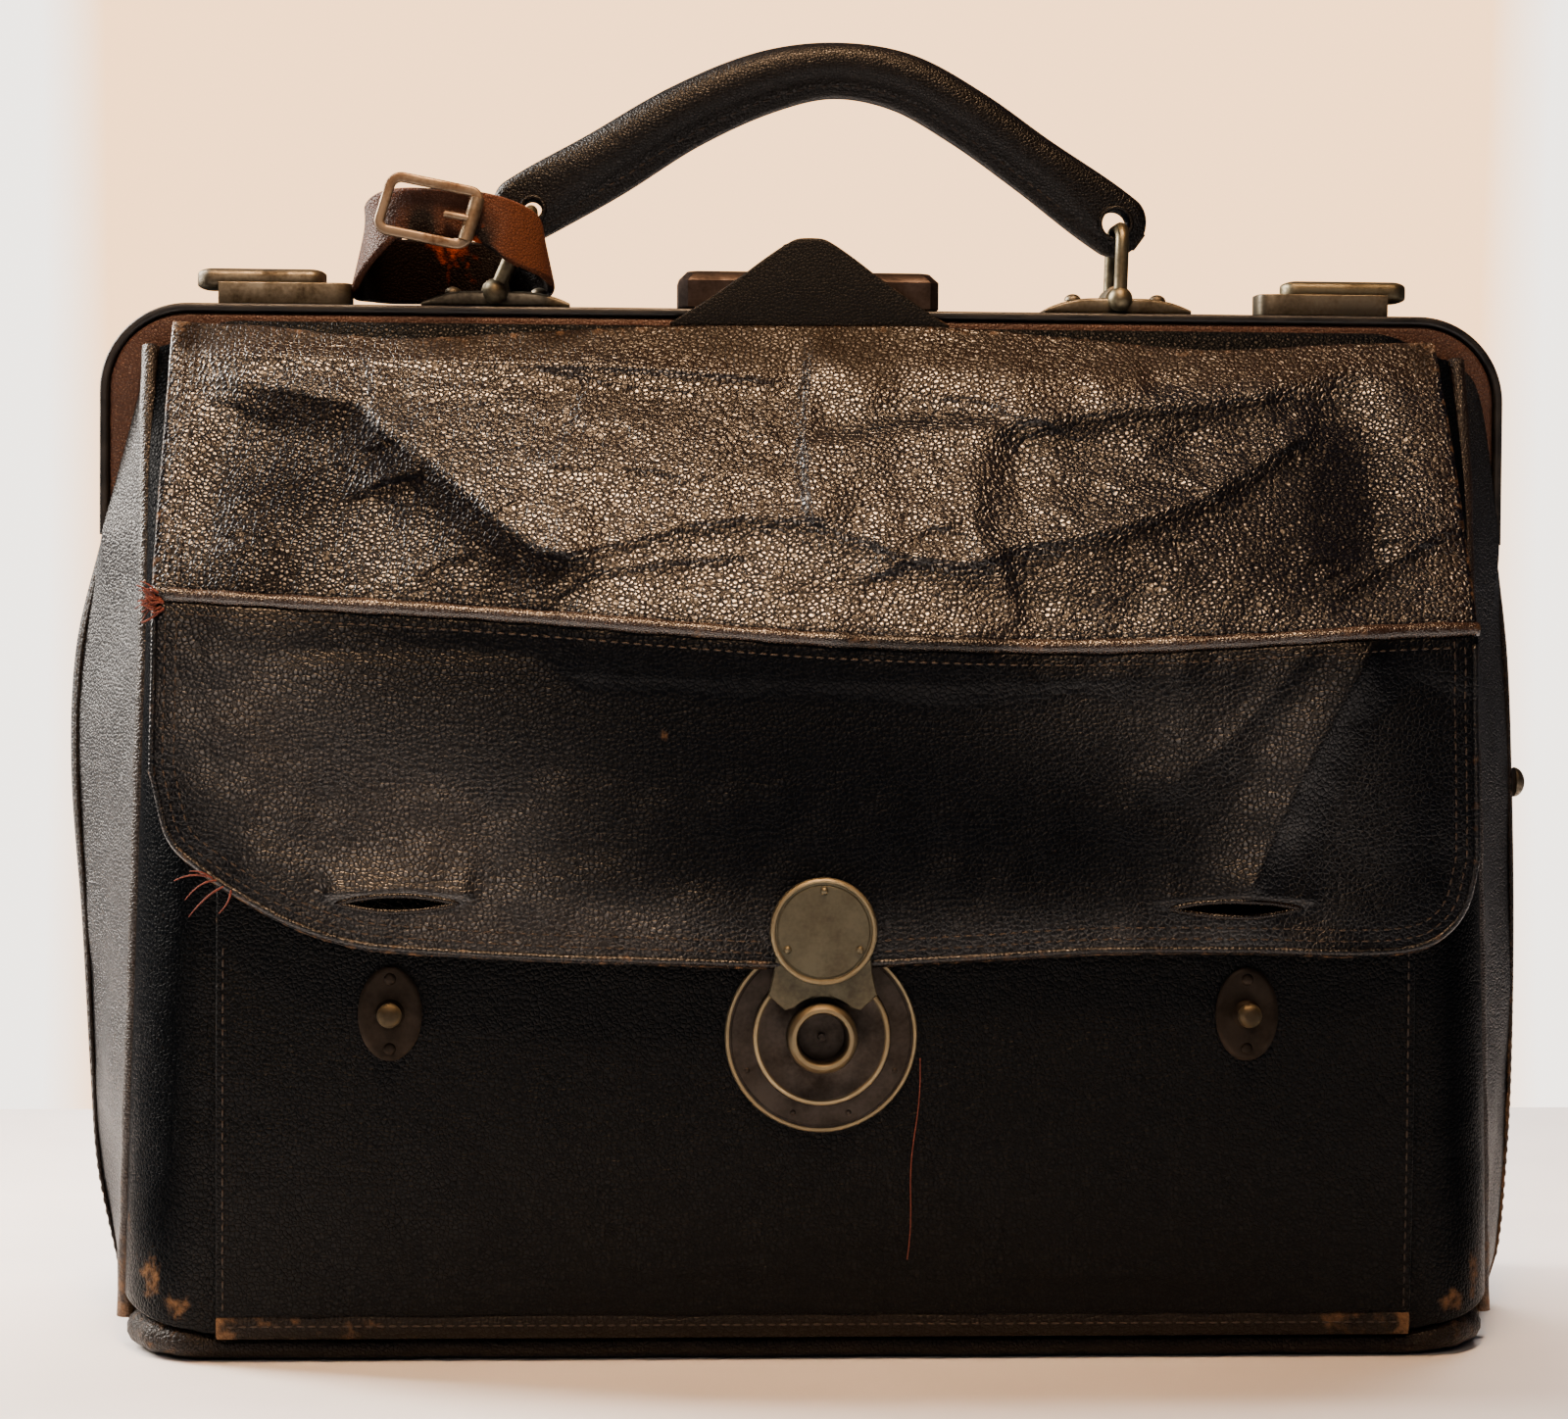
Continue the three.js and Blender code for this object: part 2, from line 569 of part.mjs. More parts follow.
// Riveted plate with a bored boss for the shackle pin
function ringPlate(side) {
  const foot = FRAME.top + GAP;
  const x = side * PLATE.x;
  const half = PLATE.length / 2;
  const dome = new THREE.Shape();
  dome.moveTo(x - half, foot);
  dome.lineTo(x + half, foot);
  dome.lineTo(x + half, foot + 1);
  dome.quadraticCurveTo(x + half * 0.7, foot + PLATE.height, x + half * 0.3, foot + PLATE.height);
  dome.lineTo(x - half * 0.3, foot + PLATE.height);
  dome.quadraticCurveTo(x - half * 0.7, foot + PLATE.height, x - half, foot + 1);
  const rivets = [-1, 1].map((end) => {
    const head = new THREE.SphereGeometry(PLATE.rivetRadius, 8, 5);
    return head.scale(1, 1, 0.8).translate(x + end * PLATE.rivetAt, 0, foot + PLATE.height - 0.5);
  });
  const boss = new THREE.CylinderGeometry(PLATE.boss, PLATE.boss, 2 * PLATE.half - 2, 10);
  const above = block(x - 9, -PLATE.half, foot + 0.5, x + 9, PLATE.half, foot + 20);
  const bossTop = geometryOf(solid(boss.translate(x, 0, SHACKLE.pivotZ)).intersect(solid(above)));
  const bore = new THREE.CylinderGeometry(SHACKLE.pin + GAP, SHACKLE.pin + GAP, 40, 8);
  const plate = joined(standing(dome, PLATE.half, 2 * PLATE.half), ...rivets, bossTop);
  return cut(plate, bore.translate(x, 0, SHACKLE.pivotZ));
}

// Wire loop through the handle end, with a ball at each foot and the pin between the balls
function shackle(side, top) {
  const x = side * PLATE.x;
  const rise = vec(top.x - x, 0, top.z - SHACKLE.pivotZ);
  const bend = 5;
  const along = (share, y) => vec(x + rise.x * share, y, SHACKLE.pivotZ + rise.z * share);
  const stop = 1 - bend / rise.length();
  const corner = (y, turn) => {
    const share = stop + (1 - stop) * Math.sin(turn);
    return along(share, Math.sign(y) * (SHACKLE.half - bend + bend * Math.cos(turn)));
  };
  const turns = spread(0, Math.PI / 2, 3);
  const path = [
    along(0, -SHACKLE.half),
    ...turns.map((turn) => corner(-1, turn)),
    ...turns.reverse().map((turn) => corner(1, turn)),
    along(0, SHACKLE.half),
  ];
  const balls = [-1, 1].map((end) => {
    return new THREE.SphereGeometry(SHACKLE.ball, 8, 6).translate(x, end * SHACKLE.half, SHACKLE.pivotZ);
  });
  const pin = new THREE.CylinderGeometry(SHACKLE.pin, SHACKLE.pin, 2 * SHACKLE.half, 6);
  const across = vec(rise.z, 0, -rise.x).normalize();
  return joined(cord(path, SHACKLE.wire, 6, across), ...balls, pin.translate(x, 0, SHACKLE.pivotZ));
}

// Rolled handle: fuller above than below, rounded ends, a hole for each shackle
function handle() {
  const line = new THREE.CatmullRomCurve3(HANDLE.map((row) => vec(row.x, 0, row.z)));
  const high = column(HANDLE, "x", "high");
  const thick = column(HANDLE, "x", "thick");
  const length = line.getLength();
  const end = [0, 1.2, 3.5, HANDLE_ROUND];
  const stops = [...end, ...spread(18, length - 18, 13), ...end.map((stop) => length - stop).reverse()];
  const rings = stops.map((stop) => {
    const middle = line.getPointAt(stop / length);
    const tangent = line.getTangentAt(stop / length);
    const up = vec(-tangent.z, 0, tangent.x);
    const inset = Math.max(0, 1 - Math.min(stop, length - stop) / HANDLE_ROUND);
    const shrink = Math.max(0.35, Math.sqrt(1 - inset * inset));
    return spread(0, 2 * Math.PI, 10).slice(0, 10).map((turn) => {
      const full = 1 + 0.22 * Math.cos(turn);
      const y = 0.5 * thick(middle.x) * Math.max(shrink, 0.6) * full * Math.sin(turn) / 1.03;
      const z = 0.5 * high(middle.x) * shrink * Math.cos(turn);
      return middle.clone().addScaledVector(up, z).add(vec(0, -y, 0));
    });
  });
  const holes = [HANDLE_HOLE.left, HANDLE_HOLE.right].map(({ x, z }) => {
    return new THREE.CylinderGeometry(HANDLE_HOLE.radius, HANDLE_HOLE.radius, 40, 12).translate(x, 0, z);
  });
  return cut(skin(rings), ...holes);
}

// Strap as a tilted flat loop with rounded corners, highest at the front
function labelStrap() {
  const bent = (part) => Math.sign(part) * Math.abs(part) ** STRAP_BEND.square;
  const place = (turn) => {
    const [c, s] = [bent(Math.cos(turn)), bent(Math.sin(turn))];
    const lift = STRAP_BEND.bow * s * s + STRAP_BEND.lift * s - STRAP_BEND.lean * c;
    return vec(STRAP.x + STRAP.spanX * c, STRAP.y - STRAP.spanY * s, STRAP.z + lift);
  };
  const rings = spread(0, 2 * Math.PI, 24).slice(0, 24).map((turn) => {
    const along = place(turn + 0.05).sub(place(turn - 0.05));
    const out = vec(-along.y, along.x, 0).setLength(STRAP.thick / 2);
    const corner = (across, up) => place(turn).addScaledVector(out, across).add(vec(0, 0, up * STRAP.half));
    return [corner(-1, 1), corner(-1, -1), corner(1, -1), corner(1, 1)];
  });
  return skin(rings, true);
}

// Buckle frame with its prong across the middle
function labelBuckle() {
  const shape = roundedRect(0, 0, BUCKLE.width, BUCKLE.height, 2.5);
  const open = { width: BUCKLE.width - 2 * BUCKLE.bar, height: BUCKLE.height / 2 - BUCKLE.bar - 0.8 };
  shape.holes = [-1, 1].map((side) => {
    return roundedRect(0, side * (0.8 + open.height / 2), open.width, open.height, 1);
  });
  return standing(shape, 0, BUCKLE.thick, 2).rotateY(-BUCKLE.tilt).translate(BUCKLE.x, BUCKLE.y, BUCKLE.z);
}

const pocketFront = (z) => -face(z) - POCKET.standoff;

// Round lock plate in steps, with a barrel and a keyhole pit
function lockPlate() {
  const back = pocketFront(LOCK.z) - GAP;
  const profile = [
    [0, back - 5],
    [LOCK.hole, back - 5],
    [LOCK.hole, back - 7.6],
    [LOCK.recess, back - 8.4],
    [LOCK.barrel - 0.8, back - 8.6],
    [LOCK.barrel, back - 7.8],
    [LOCK.barrel, back - 2.6],
    [LOCK.ring - 0.6, back - 2.4],
    [LOCK.ring, back - 0.9],
    [LOCK.flange - 0.5, back - 0.8],
    [LOCK.flange, back],
    [0, back],
  ];
  return turned(profile, 20, 0, LOCK.z);
}

const haspBack = flapPoint(0, HASP.z - 6).y - GAP - 0.2;

// Hasp plate forked round the lock barrel
function haspFork() {
  const shape = new THREE.Shape();
  const side = HASP.fork;
  const reach = Math.asin((HASP.forkFoot - LOCK.z) / HASP.arc);
  shape.moveTo(-side, HASP.z);
  shape.lineTo(-side, HASP.forkFoot + 3);
  shape.quadraticCurveTo(-side, HASP.forkFoot, -HASP.arc * Math.cos(reach), HASP.forkFoot);
  shape.absarc(0, LOCK.z, HASP.arc, Math.PI - reach, reach, true);
  shape.quadraticCurveTo(side, HASP.forkFoot, side, HASP.forkFoot + 3);
  shape.lineTo(side, HASP.z);
  shape.closePath();
  return standing(shape, haspBack, 1.3, 8);
}

// Round hasp cap with three rivet heads
function haspDisc() {
  const back = haspBack - 1.3 - GAP;
  const profile = [
    [0, back - 1.9],
    [HASP.disc - 6, back - 1.9],
    [HASP.disc - 1.2, back - 1.5],
    [HASP.disc, back - 0.6],
    [HASP.disc, back],
    [0, back],
  ];
  const rivets = [90, 215, 325].map((degrees) => {
    const turn = THREE.MathUtils.degToRad(degrees);
    const head = new THREE.SphereGeometry(HASP.rivet, 6, 4);
    return head.translate(HASP.rivetAt * Math.cos(turn), back - 1.6, HASP.z + HASP.rivetAt * Math.sin(turn));
  });
  return joined(turned(profile, 20, 0, HASP.z), ...rivets);
}

// Oval plate with a turn knob and two screws
function studPlate(side) {
  const back = pocketFront(STUD.z) - GAP;
  const x = side * STUD.x;
  const oval = new THREE.Shape();
  oval.absellipse(x, STUD.z, STUD.halfX, STUD.halfZ, 0, 2 * Math.PI);
  const knob = [
    [0, back - 7.4],
    [STUD.knob * 0.7, back - 7],
    [STUD.knob, back - 5],
    [STUD.knob * 0.7, back - 3.2],
    [STUD.knob * 0.6, back - 2.2],
    [STUD.knob * 1.2, back - 0.9],
    [0, back - 0.9],
  ];
  const screws = [-1, 1].map((end) => {
    const head = new THREE.SphereGeometry(STUD.screw, 6, 4).scale(1, 0.5, 1);
    return head.translate(x, back - 1.1, STUD.z + end * STUD.screwAt);
  });
  return joined(standing(oval, back, 1.2, 18), turned(knob, 10, x, STUD.z), ...screws);
}

function sideStud() {
  const profile = [
    [0, -SIDE_STUD.height],
    [SIDE_STUD.radius * 0.5, -SIDE_STUD.height * 0.87],
    [SIDE_STUD.radius * 0.87, -SIDE_STUD.height * 0.5],
    [SIDE_STUD.radius, 0],
    [0, 0],
  ];
  const out = ridgeX(1, SIDE_STUD.z) + GAP;
  return turned(profile, 12, 0, 0).rotateZ(Math.PI / 2).translate(out, 0, SIDE_STUD.z);
}

const LEATHER = { color: 0x17161a, roughness: 0.55, metalness: 0 };
const FLAP_LEATHER = { color: 0x1c1917, roughness: 0.5, metalness: 0 };
const GUSSET_LEATHER = { color: 0x24272b, roughness: 0.5, metalness: 0 };
const WELT_LEATHER = { color: 0x2a211b, roughness: 0.5, metalness: 0 };
const WORN_LEATHER = { color: 0x4a2a1c, roughness: 0.6, metalness: 0 };
const BLACK_RAIL = { color: 0x0d0d0e, roughness: 0.4, metalness: 0.3 };
const BRASS = { color: 0x6b5a36, roughness: 0.42, metalness: 0.9 };
const NICKEL = { color: 0x6e685a, roughness: 0.4, metalness: 0.9 };

const bag = new THREE.Group();
function part(name, geometry, look) {
  const mesh = new THREE.Mesh(geometry, new THREE.MeshStandardMaterial(look));
  mesh.name = name;
  bag.add(mesh);
}

part("front_panel", panel(true), LEATHER);
part("back_panel", panel(false), LEATHER);
part("gusset_left", gusset(-1), GUSSET_LEATHER);
part("gusset_right", gusset(1), GUSSET_LEATHER);
part("base_panel", basePanel(), LEATHER);
part("base_welt", baseWelt(), WELT_LEATHER);
part("welt_front_left", welt(-1, -1), WELT_LEATHER);
part("welt_front_right", welt(1, -1), WELT_LEATHER);
part("welt_back_left", welt(-1, 1), WELT_LEATHER);
part("welt_back_right", welt(1, 1), WELT_LEATHER);
part("pocket_panel", pocketPiece(POCKET.foot, POCKET.top, 9), LEATHER);
part("pocket_binding", pocketPiece(WALL_FOOT + 0.1, POCKET.foot - GAP, 1), WORN_LEATHER);
part("flap_upper", flapUpper(), FLAP_LEATHER);
part("flap_bead", flapBeadCord(), FLAP_LEATHER);
part("flap_lower", flapLower(), FLAP_LEATHER);
part("frame_front", facing(true), WORN_LEATHER);
part("frame_back", facing(false), WORN_LEATHER);
part("rail_front", rail(true), BLACK_RAIL);
part("rail_back", rail(false), BLACK_RAIL);
part("lock_case", lockCase(), NICKEL);
part("lock_knob", lockKnob(), NICKEL);
part("pull_tab", pullTab(), LEATHER);
part("catch_base_left", catchBase(-1), NICKEL);
part("catch_base_right", catchBase(1), BRASS);
part("catch_slide_left", catchSlide(-1), NICKEL);
part("catch_slide_right", catchSlide(1), BRASS);
part("ring_plate_left", ringPlate(-1), NICKEL);
part("ring_plate_right", ringPlate(1), NICKEL);
part("shackle_left", shackle(-1, SHACKLE_TOP.left), BRASS);
part("shackle_right", shackle(1, SHACKLE_TOP.right), BRASS);
part("handle", handle(), LEATHER);
part("label_strap", labelStrap(), WORN_LEATHER);
part("label_buckle", labelBuckle(), BRASS);
part("lock_plate", lockPlate(), BRASS);
part("hasp_fork", haspFork(), BRASS);
part("hasp_disc", haspDisc(), BRASS);
part("stud_plate_left", studPlate(-1), BRASS);
part("stud_plate_right", studPlate(1), BRASS);
part("side_stud", sideStud(), NICKEL);

export default bag;
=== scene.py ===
# %% [markdown]
# # An old leather travel bag
# The bag has soft leather walls hung from a hinged mouth frame, a crumpled front flap with a
# hasp lock, and a rolled handle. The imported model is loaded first, because it fixes the frame
# that every piece below is measured in. Sizes are written in millimetres and turned into
# metres only when a mesh is made.

import bmesh
import bpy
import numpy as np
from mathutils import Matrix


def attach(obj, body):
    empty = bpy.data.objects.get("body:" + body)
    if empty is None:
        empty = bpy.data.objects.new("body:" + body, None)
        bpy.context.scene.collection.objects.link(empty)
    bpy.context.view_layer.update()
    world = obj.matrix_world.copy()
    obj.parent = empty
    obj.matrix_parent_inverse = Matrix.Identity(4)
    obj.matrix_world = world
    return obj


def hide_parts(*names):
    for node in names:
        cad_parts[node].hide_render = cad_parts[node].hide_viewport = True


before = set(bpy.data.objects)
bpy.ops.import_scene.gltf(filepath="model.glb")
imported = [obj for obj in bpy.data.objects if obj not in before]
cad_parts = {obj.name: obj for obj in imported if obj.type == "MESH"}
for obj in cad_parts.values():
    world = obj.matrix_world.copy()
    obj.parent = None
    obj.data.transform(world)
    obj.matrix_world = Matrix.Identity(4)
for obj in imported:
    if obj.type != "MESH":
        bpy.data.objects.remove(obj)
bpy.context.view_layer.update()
MM = 0.001

# %% [markdown]
# ## Camera
# The photograph was taken about a metre in front of the bag, a little left of its middle and
# slightly above the flap seam. The camera could be placed by eye; here it comes from a fit of
# the frame and the base to their places in the picture, so outlines can be compared directly.

# %% Camera
EYE = np.array([-70.0, -1080.0, 207.8])
YAW, PITCH, ROLL = np.radians([3.4, 1.75, 0.4])
FOCAL_PX, PHOTO_WIDTH_PX, SENSOR = 3793, 1600, 36

ahead = np.array([np.sin(YAW) * np.cos(PITCH), np.cos(YAW) * np.cos(PITCH), -np.sin(PITCH)])
right = np.cross(ahead, [0, 0, 1]) / np.cos(PITCH)
above = np.cross(right, ahead)
pose = np.eye(4)
pose[:3, 0] = right * np.cos(ROLL) + above * np.sin(ROLL)
pose[:3, 1] = above * np.cos(ROLL) - right * np.sin(ROLL)
pose[:3, 2] = -ahead
pose[:3, 3] = EYE * MM
lens = bpy.data.cameras.new("photo_camera")
lens.sensor_fit = "HORIZONTAL"
lens.sensor_width = SENSOR
lens.lens = SENSOR * FOCAL_PX / PHOTO_WIDTH_PX
camera = bpy.data.objects.new("photo_camera", lens)
camera.matrix_world = Matrix(pose.tolist())
bpy.context.collection.objects.link(camera)
bpy.context.scene.camera = camera
print("lens, mm:", round(lens.lens, 2))

# %% [markdown]
# ## Surfaces as grids
# Leather walls, cords and turned fittings are all the same thing to a mesh: a grid of points,
# joined into four-sided faces. A few helpers make the grids and close them. Each returns
# points, faces, and two tones for every point: how far the leather is worn bare, and how far
# it is rubbed brown, a tone that on some pieces also carries painted shade and painted sheen.
# The materials read those tones as attributes.

# %% Grids, and one function that makes a piece of them
def unit(v):
    """Each vector divided by its length."""
    return v / np.maximum(np.linalg.norm(v, axis=-1, keepdims=True), 1e-9)


def point(*measures):
    """Points, or flat places, from their measures, each spread to the same shape."""
    return np.stack(np.broadcast_arrays(*measures), -1)


def run_along(line):
    """Length of a line of points up to each of them."""
    return np.concatenate([[0], np.cumsum(np.linalg.norm(np.diff(line, axis=0), axis=1))])


def smooth(share):
    """0 below 0, 1 above 1, and 3t^2 - 2t^3 between."""
    t = np.clip(share, 0, 1)
    return t * t * (3 - 2 * t)


def hump(share):
    """exp(-share^2): 1 in the middle, falling off softly on both sides."""
    return np.exp(-(share**2))


def curve(places, values):
    """Smooth line through a table: a cubic between rows, with the slope at each row taken
    from the rows on either side of it."""
    p, v = np.array(places, float), np.array(values, float)
    row = np.arange(len(p))
    low, high = np.maximum(row - 1, 0), np.minimum(row + 1, len(p) - 1)
    slope = (v[high] - v[low]) / (p[high] - p[low])

    def at(place):
        place = np.clip(place, p[0], p[-1])
        i = np.clip(np.searchsorted(p, place) - 1, 0, len(p) - 2)
        h = p[i + 1] - p[i]
        u = (place - p[i]) / h
        w = 1 - u
        ends = v[i] * (1 + 2 * u) * w * w + v[i + 1] * (1 + 2 * w) * u * u
        return ends + h * (slope[i] * u * w * w - slope[i + 1] * w * u * u)

    return at


def quads(rows):
    """Four-sided faces between neighbouring rows of point numbers, and along each row."""
    a, b = rows[:-1, :-1], rows[:-1, 1:]
    c, d = rows[1:, 1:], rows[1:, :-1]
    return np.stack([a, b, c, d], -1).reshape(-1, 4)


def tube(grid, loop=False):
    """Skin over rows of points: each row is a ring. Open ends are closed by a point in the
    middle of the end ring; with loop, the last ring joins the first."""
    if not loop:
        ends = [np.broadcast_to(grid[i].mean(0), grid[i].shape)[None] for i in (0, -1)]
        grid = np.concatenate([ends[0], grid, ends[1]])
    number = np.arange(grid.shape[0] * grid.shape[1]).reshape(grid.shape[:2])
    number = np.hstack([number, number[:, :1]])
    if loop:
        number = np.vstack([number, number[:1]])
    points = grid.reshape(-1, 3)
    return points, quads(number), np.zeros((len(points), 2))


def joined(*parts):
    """Several skins as one."""
    starts = np.cumsum([0] + [len(points) for points, _, _ in parts[:-1]])
    faces = [part[1] + start for part, start in zip(parts, starts)]
    return np.vstack([p[0] for p in parts]), np.vstack(faces), np.vstack([p[2] for p in parts])


def toned(part, wear, rub_and_painted_light=0):
    """The same skin with its two tones set."""
    points, faces, tone = part
    return points, faces, point(wear + tone[:, 0], rub_and_painted_light + tone[:, 1])


def piece(name, part, finish, *nodes, body="bag", crease=None):
    """Mesh object from a skin: doubles merged, faces turned outwards, shaded smooth, with
    edges sharper than the crease angle kept. It rides on a body and stands for CAD nodes."""
    points, faces, tone = part
    mesh = bpy.data.meshes.new(name)
    mesh.vertices.add(len(points))
    mesh.vertices.foreach_set("co", (points * MM).astype(np.float32).ravel())
    mesh.loops.add(faces.size)
    mesh.loops.foreach_set("vertex_index", faces.astype(np.int32).ravel())
    mesh.polygons.add(len(faces))
    mesh.polygons.foreach_set("loop_start", np.arange(0, faces.size, 4, dtype=np.int32))
    mesh.update(calc_edges=True)
    for column, label in enumerate(("wear", "rub_and_painted_light")):
        values = mesh.attributes.new(label, "FLOAT", "POINT").data
        values.foreach_set("value", np.clip(tone[:, column], -1, 1.5).astype(np.float32))
    work = bmesh.new()
    work.from_mesh(mesh)
    bmesh.ops.remove_doubles(work, verts=work.verts, dist=1e-7)
    bmesh.ops.recalc_face_normals(work, faces=work.faces)
    work.to_mesh(mesh)
    work.free()
    mesh.shade_smooth()
    if crease:
        mesh.set_sharp_from_angle(angle=np.radians(crease))
    mesh.materials.append(finish)
    made = bpy.data.objects.new(name, mesh)
    bpy.context.collection.objects.link(made)
    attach(made, body)
    if nodes:
        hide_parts(*nodes)
    print(f"{name}: {len(mesh.polygons)} faces")
    return made


# %% [markdown]
# ## Finishes
# Old glazed hide is near black with a blue cast where it is untouched, brown where hands and
# straps rubbed it, and tan where the dye is gone. Its pebble grain breaks the light into small
# sparks. An image could carry all this; nodes on Object coordinates keep the grain at its true
# size on every piece and need no unwrapping.

# %% Nodes and colours
def hue(code):
    """sRGB hex to linear RGBA."""
    c = np.array([int(code[i : i + 2], 16) for i in (1, 3, 5)]) / 255
    linear = np.where(c <= 0.04045, c / 12.92, ((c + 0.055) / 1.055) ** 2.4)
    return (*linear.tolist(), 1.0)


def node(tree, kind, inputs, **settings):
    """One shader node: settings are its properties, inputs its values or the sockets it is
    linked from."""
    made = tree.nodes.new("ShaderNode" + kind)
    for key, value in settings.items():
        setattr(made, key, value)
    for key, value in inputs.items():
        if isinstance(value, bpy.types.NodeSocket):
            tree.links.new(value, made.inputs[key])
        else:
            made.inputs[key].default_value = value
    return made.outputs


def finish_of(name, slot):
    """Empty node material that remembers the slot of the record it belongs to; its tree; and
    the Object coordinates."""
    made = bpy.data.materials.new(name)
    made.use_nodes = True
    tree = made.node_tree
    tree.nodes.clear()
    made["slot"] = slot
    return made, tree, node(tree, "TexCoord", {})["Object"]


def surface(tree, **sockets):
    """Closes a material: a Principled surface, its sockets named with _ for each space."""
    inputs = {key.replace("_", " "): value for key, value in sockets.items()}
    shader = node(tree, "BsdfPrincipled", inputs)[0]
    node(tree, "OutputMaterial", {"Surface": shader})


def noise(tree, place, wide, detail, **more):
    """Noise with lumps about as wide as the given millimetres."""
    return node(tree, "TexNoise", {"Vector": place, "Scale": 1 / (wide * MM), "Detail": detail, **more})


def times_plus(tree, one, times, plus=0.0):
    """one * times + plus."""
    return node(tree, "Math", {0: one, 1: times, 2: plus}, operation="MULTIPLY_ADD")[0]


def ramp(tree, value, start, end, low, high, kind="LINEAR"):
    """The run of the value from start to end, turned into low to high and held beyond both."""
    span = {"Value": value, "From Min": start, "From Max": end, "To Min": low, "To Max": high}
    return node(tree, "MapRange", span, interpolation_type=kind)[0]


def blend(tree, share, one, two):
    """The first colour where the share is 0, the second where it is 1."""
    return node(tree, "Mix", {0: share, 6: one, 7: two}, data_type="RGBA")[2]


def tone_of(tree, label):
    """One of the two tones that a piece keeps for each point."""
    return node(tree, "Attribute", {}, attribute_name=label)["Fac"]


# %% Leather
GROOVE = 0.24  # half width of a groove, as a share of the grain
DOME = 1.6  # how many times its relief a pebble would fall at one grain from its middle


def leather(name, slot, deep, rubbed, bare, grain, relief, gloss, lustre=0.5, cut=0.25):
    """Grained hide. Voronoi cells of the grain width, in mm, are low domed pebbles with matt
    grooves between them; finer noise is the pores, and wider noise the handling creases. The eye
    gets a spark on each pebble that faces the light, grooves darkened in colour and shine as
    painted shade, as far as the cut says, brown rubbed areas and bare tan scuffs. Where the
    second tone is below zero the hide is darker and its glaze dull: dry hide in some places,
    painted shade in others."""
    made, tree, place = finish_of(name, slot)
    # Cells with swaying borders, and noise from pores to clouds
    sway = noise(tree, place, 3 * grain, 2.0)["Color"]
    size = (0.6 * grain * MM,) * 3
    pulled = node(tree, "VectorMath", {0: sway, 1: size, 2: place}, operation="MULTIPLY_ADD")[0]
    sized = {"Vector": pulled, "Scale": 1 / (grain * MM)}
    rim = node(tree, "TexVoronoi", sized, feature="DISTANCE_TO_EDGE")["Distance"]
    near = node(tree, "TexVoronoi", sized, feature="F1")["Distance"]
    pebble = ramp(tree, rim, 0, GROOVE, 0, 1, "SMOOTHSTEP")
    domed = times_plus(tree, times_plus(tree, near, near), -DOME, pebble)
    pores = noise(tree, place, 0.5 * grain, 2.0)[0]
    handled = noise(tree, place, 6 * grain, 3.0, Distortion=0.9)[0]
    clouds = noise(tree, place, 40, 2.0)[0]
    specks = noise(tree, place, 3.2, 3.0)[0]
    wear, rub_and_painted_light = tone_of(tree, "wear"), tone_of(tree, "rub_and_painted_light")

    # Relief
    height = times_plus(tree, handled, 1.2, times_plus(tree, pores, 0.25, domed))
    normal = node(tree, "Bump", {"Strength": 1.0, "Distance": relief * MM, "Height": height})[0]

    # Colour: near black, browned by rubbing, darker in the grooves as painted shade, bare where it is scuffed
    browned = ramp(tree, times_plus(tree, clouds, 0.9, rub_and_painted_light), 0.45, 1.25, 0, 1)
    hide_tone = blend(tree, browned, hue(deep), hue(rubbed))
    groove_shade = ramp(tree, pebble, 0, 1, 1 - cut, 1)
    shaded = node(tree, "VectorMath", {0: hide_tone, 3: groove_shade}, operation="SCALE")[0]
    scuff = ramp(tree, times_plus(tree, specks, 1.5, wear), 1.1, 1.75, 0, 1, "SMOOTHSTEP")
    colour = blend(tree, scuff, shaded, hue(bare))

    # Gloss: highest on the pebbles, lost on rubbed, dry and scuffed hide; shine is also cut in the grooves as
    # painted shade, and where a rub tone below zero is painted shade
    polish = ramp(tree, pebble, 0, 1, gloss + 0.12, gloss)
    uneven = times_plus(tree, clouds, 0.08, polish)
    dulled = ramp(tree, rub_and_painted_light, 0.85, 1.4, 0, 0.2)
    rough = times_plus(tree, scuff, 0.3, times_plus(tree, uneven, 1.0, dulled))
    handled_shine = ramp(tree, dulled, 0, 0.2, lustre, 0.07 * lustre)
    dry_and_painted_shade = ramp(tree, rub_and_painted_light, -0.7, 0.1, 0.1, 1)
    shine = times_plus(tree, times_plus(tree, handled_shine, dry_and_painted_shade), groove_shade)
    surface(tree, Base_Color=colour, Roughness=rough, Normal=normal, Specular_IOR_Level=shine)
    return made


TAN = "#634a33"
# Deep, rubbed and bare colour; grain and relief in mm; gloss, lustre and cut, how far the grooves are
# darkened as painted shade
flap_hide = leather(
    "glazed_goatskin_flap", "flap_leather", "#0b0b10", "#1b120c", TAN, 1.4, 0.115, 0.18, 0.86, 0.5
)
# The hanging half is the same goatskin with smoother grain; its deep and rubbed colours are set darker than
# the upper half's, as painted shade
hung_hide = leather(
    "glazed_goatskin_hung_flap", "flap_leather", "#04060b", "#110d0c", TAN, 1.3, 0.06, 0.25, 0.72, 0.35
)
bead_hide = leather("polished_goatskin_bead", "flap_leather", "#100b09", "#2a1a10", TAN, 0.9, 0.05, 0.16, 0.9)
body_hide = leather("glazed_cowhide_body", "body_leather", "#05070a", "#08090a", TAN, 1.2, 0.12, 0.3, 0.1)
tab_hide = leather("smooth_cowhide_tab", "body_leather", "#070708", "#0e0b0a", TAN, 0.9, 0.05, 0.42, 0.2)
end_hide = leather("smooth_calf_ends", "gusset_leather", "#191b1f", "#1c1714", TAN, 1.0, 0.15, 0.34)
welt_hide = leather("rolled_calf_welts", "welt_leather", "#0c0b0b", "#241a14", TAN, 0.9, 0.08, 0.28)
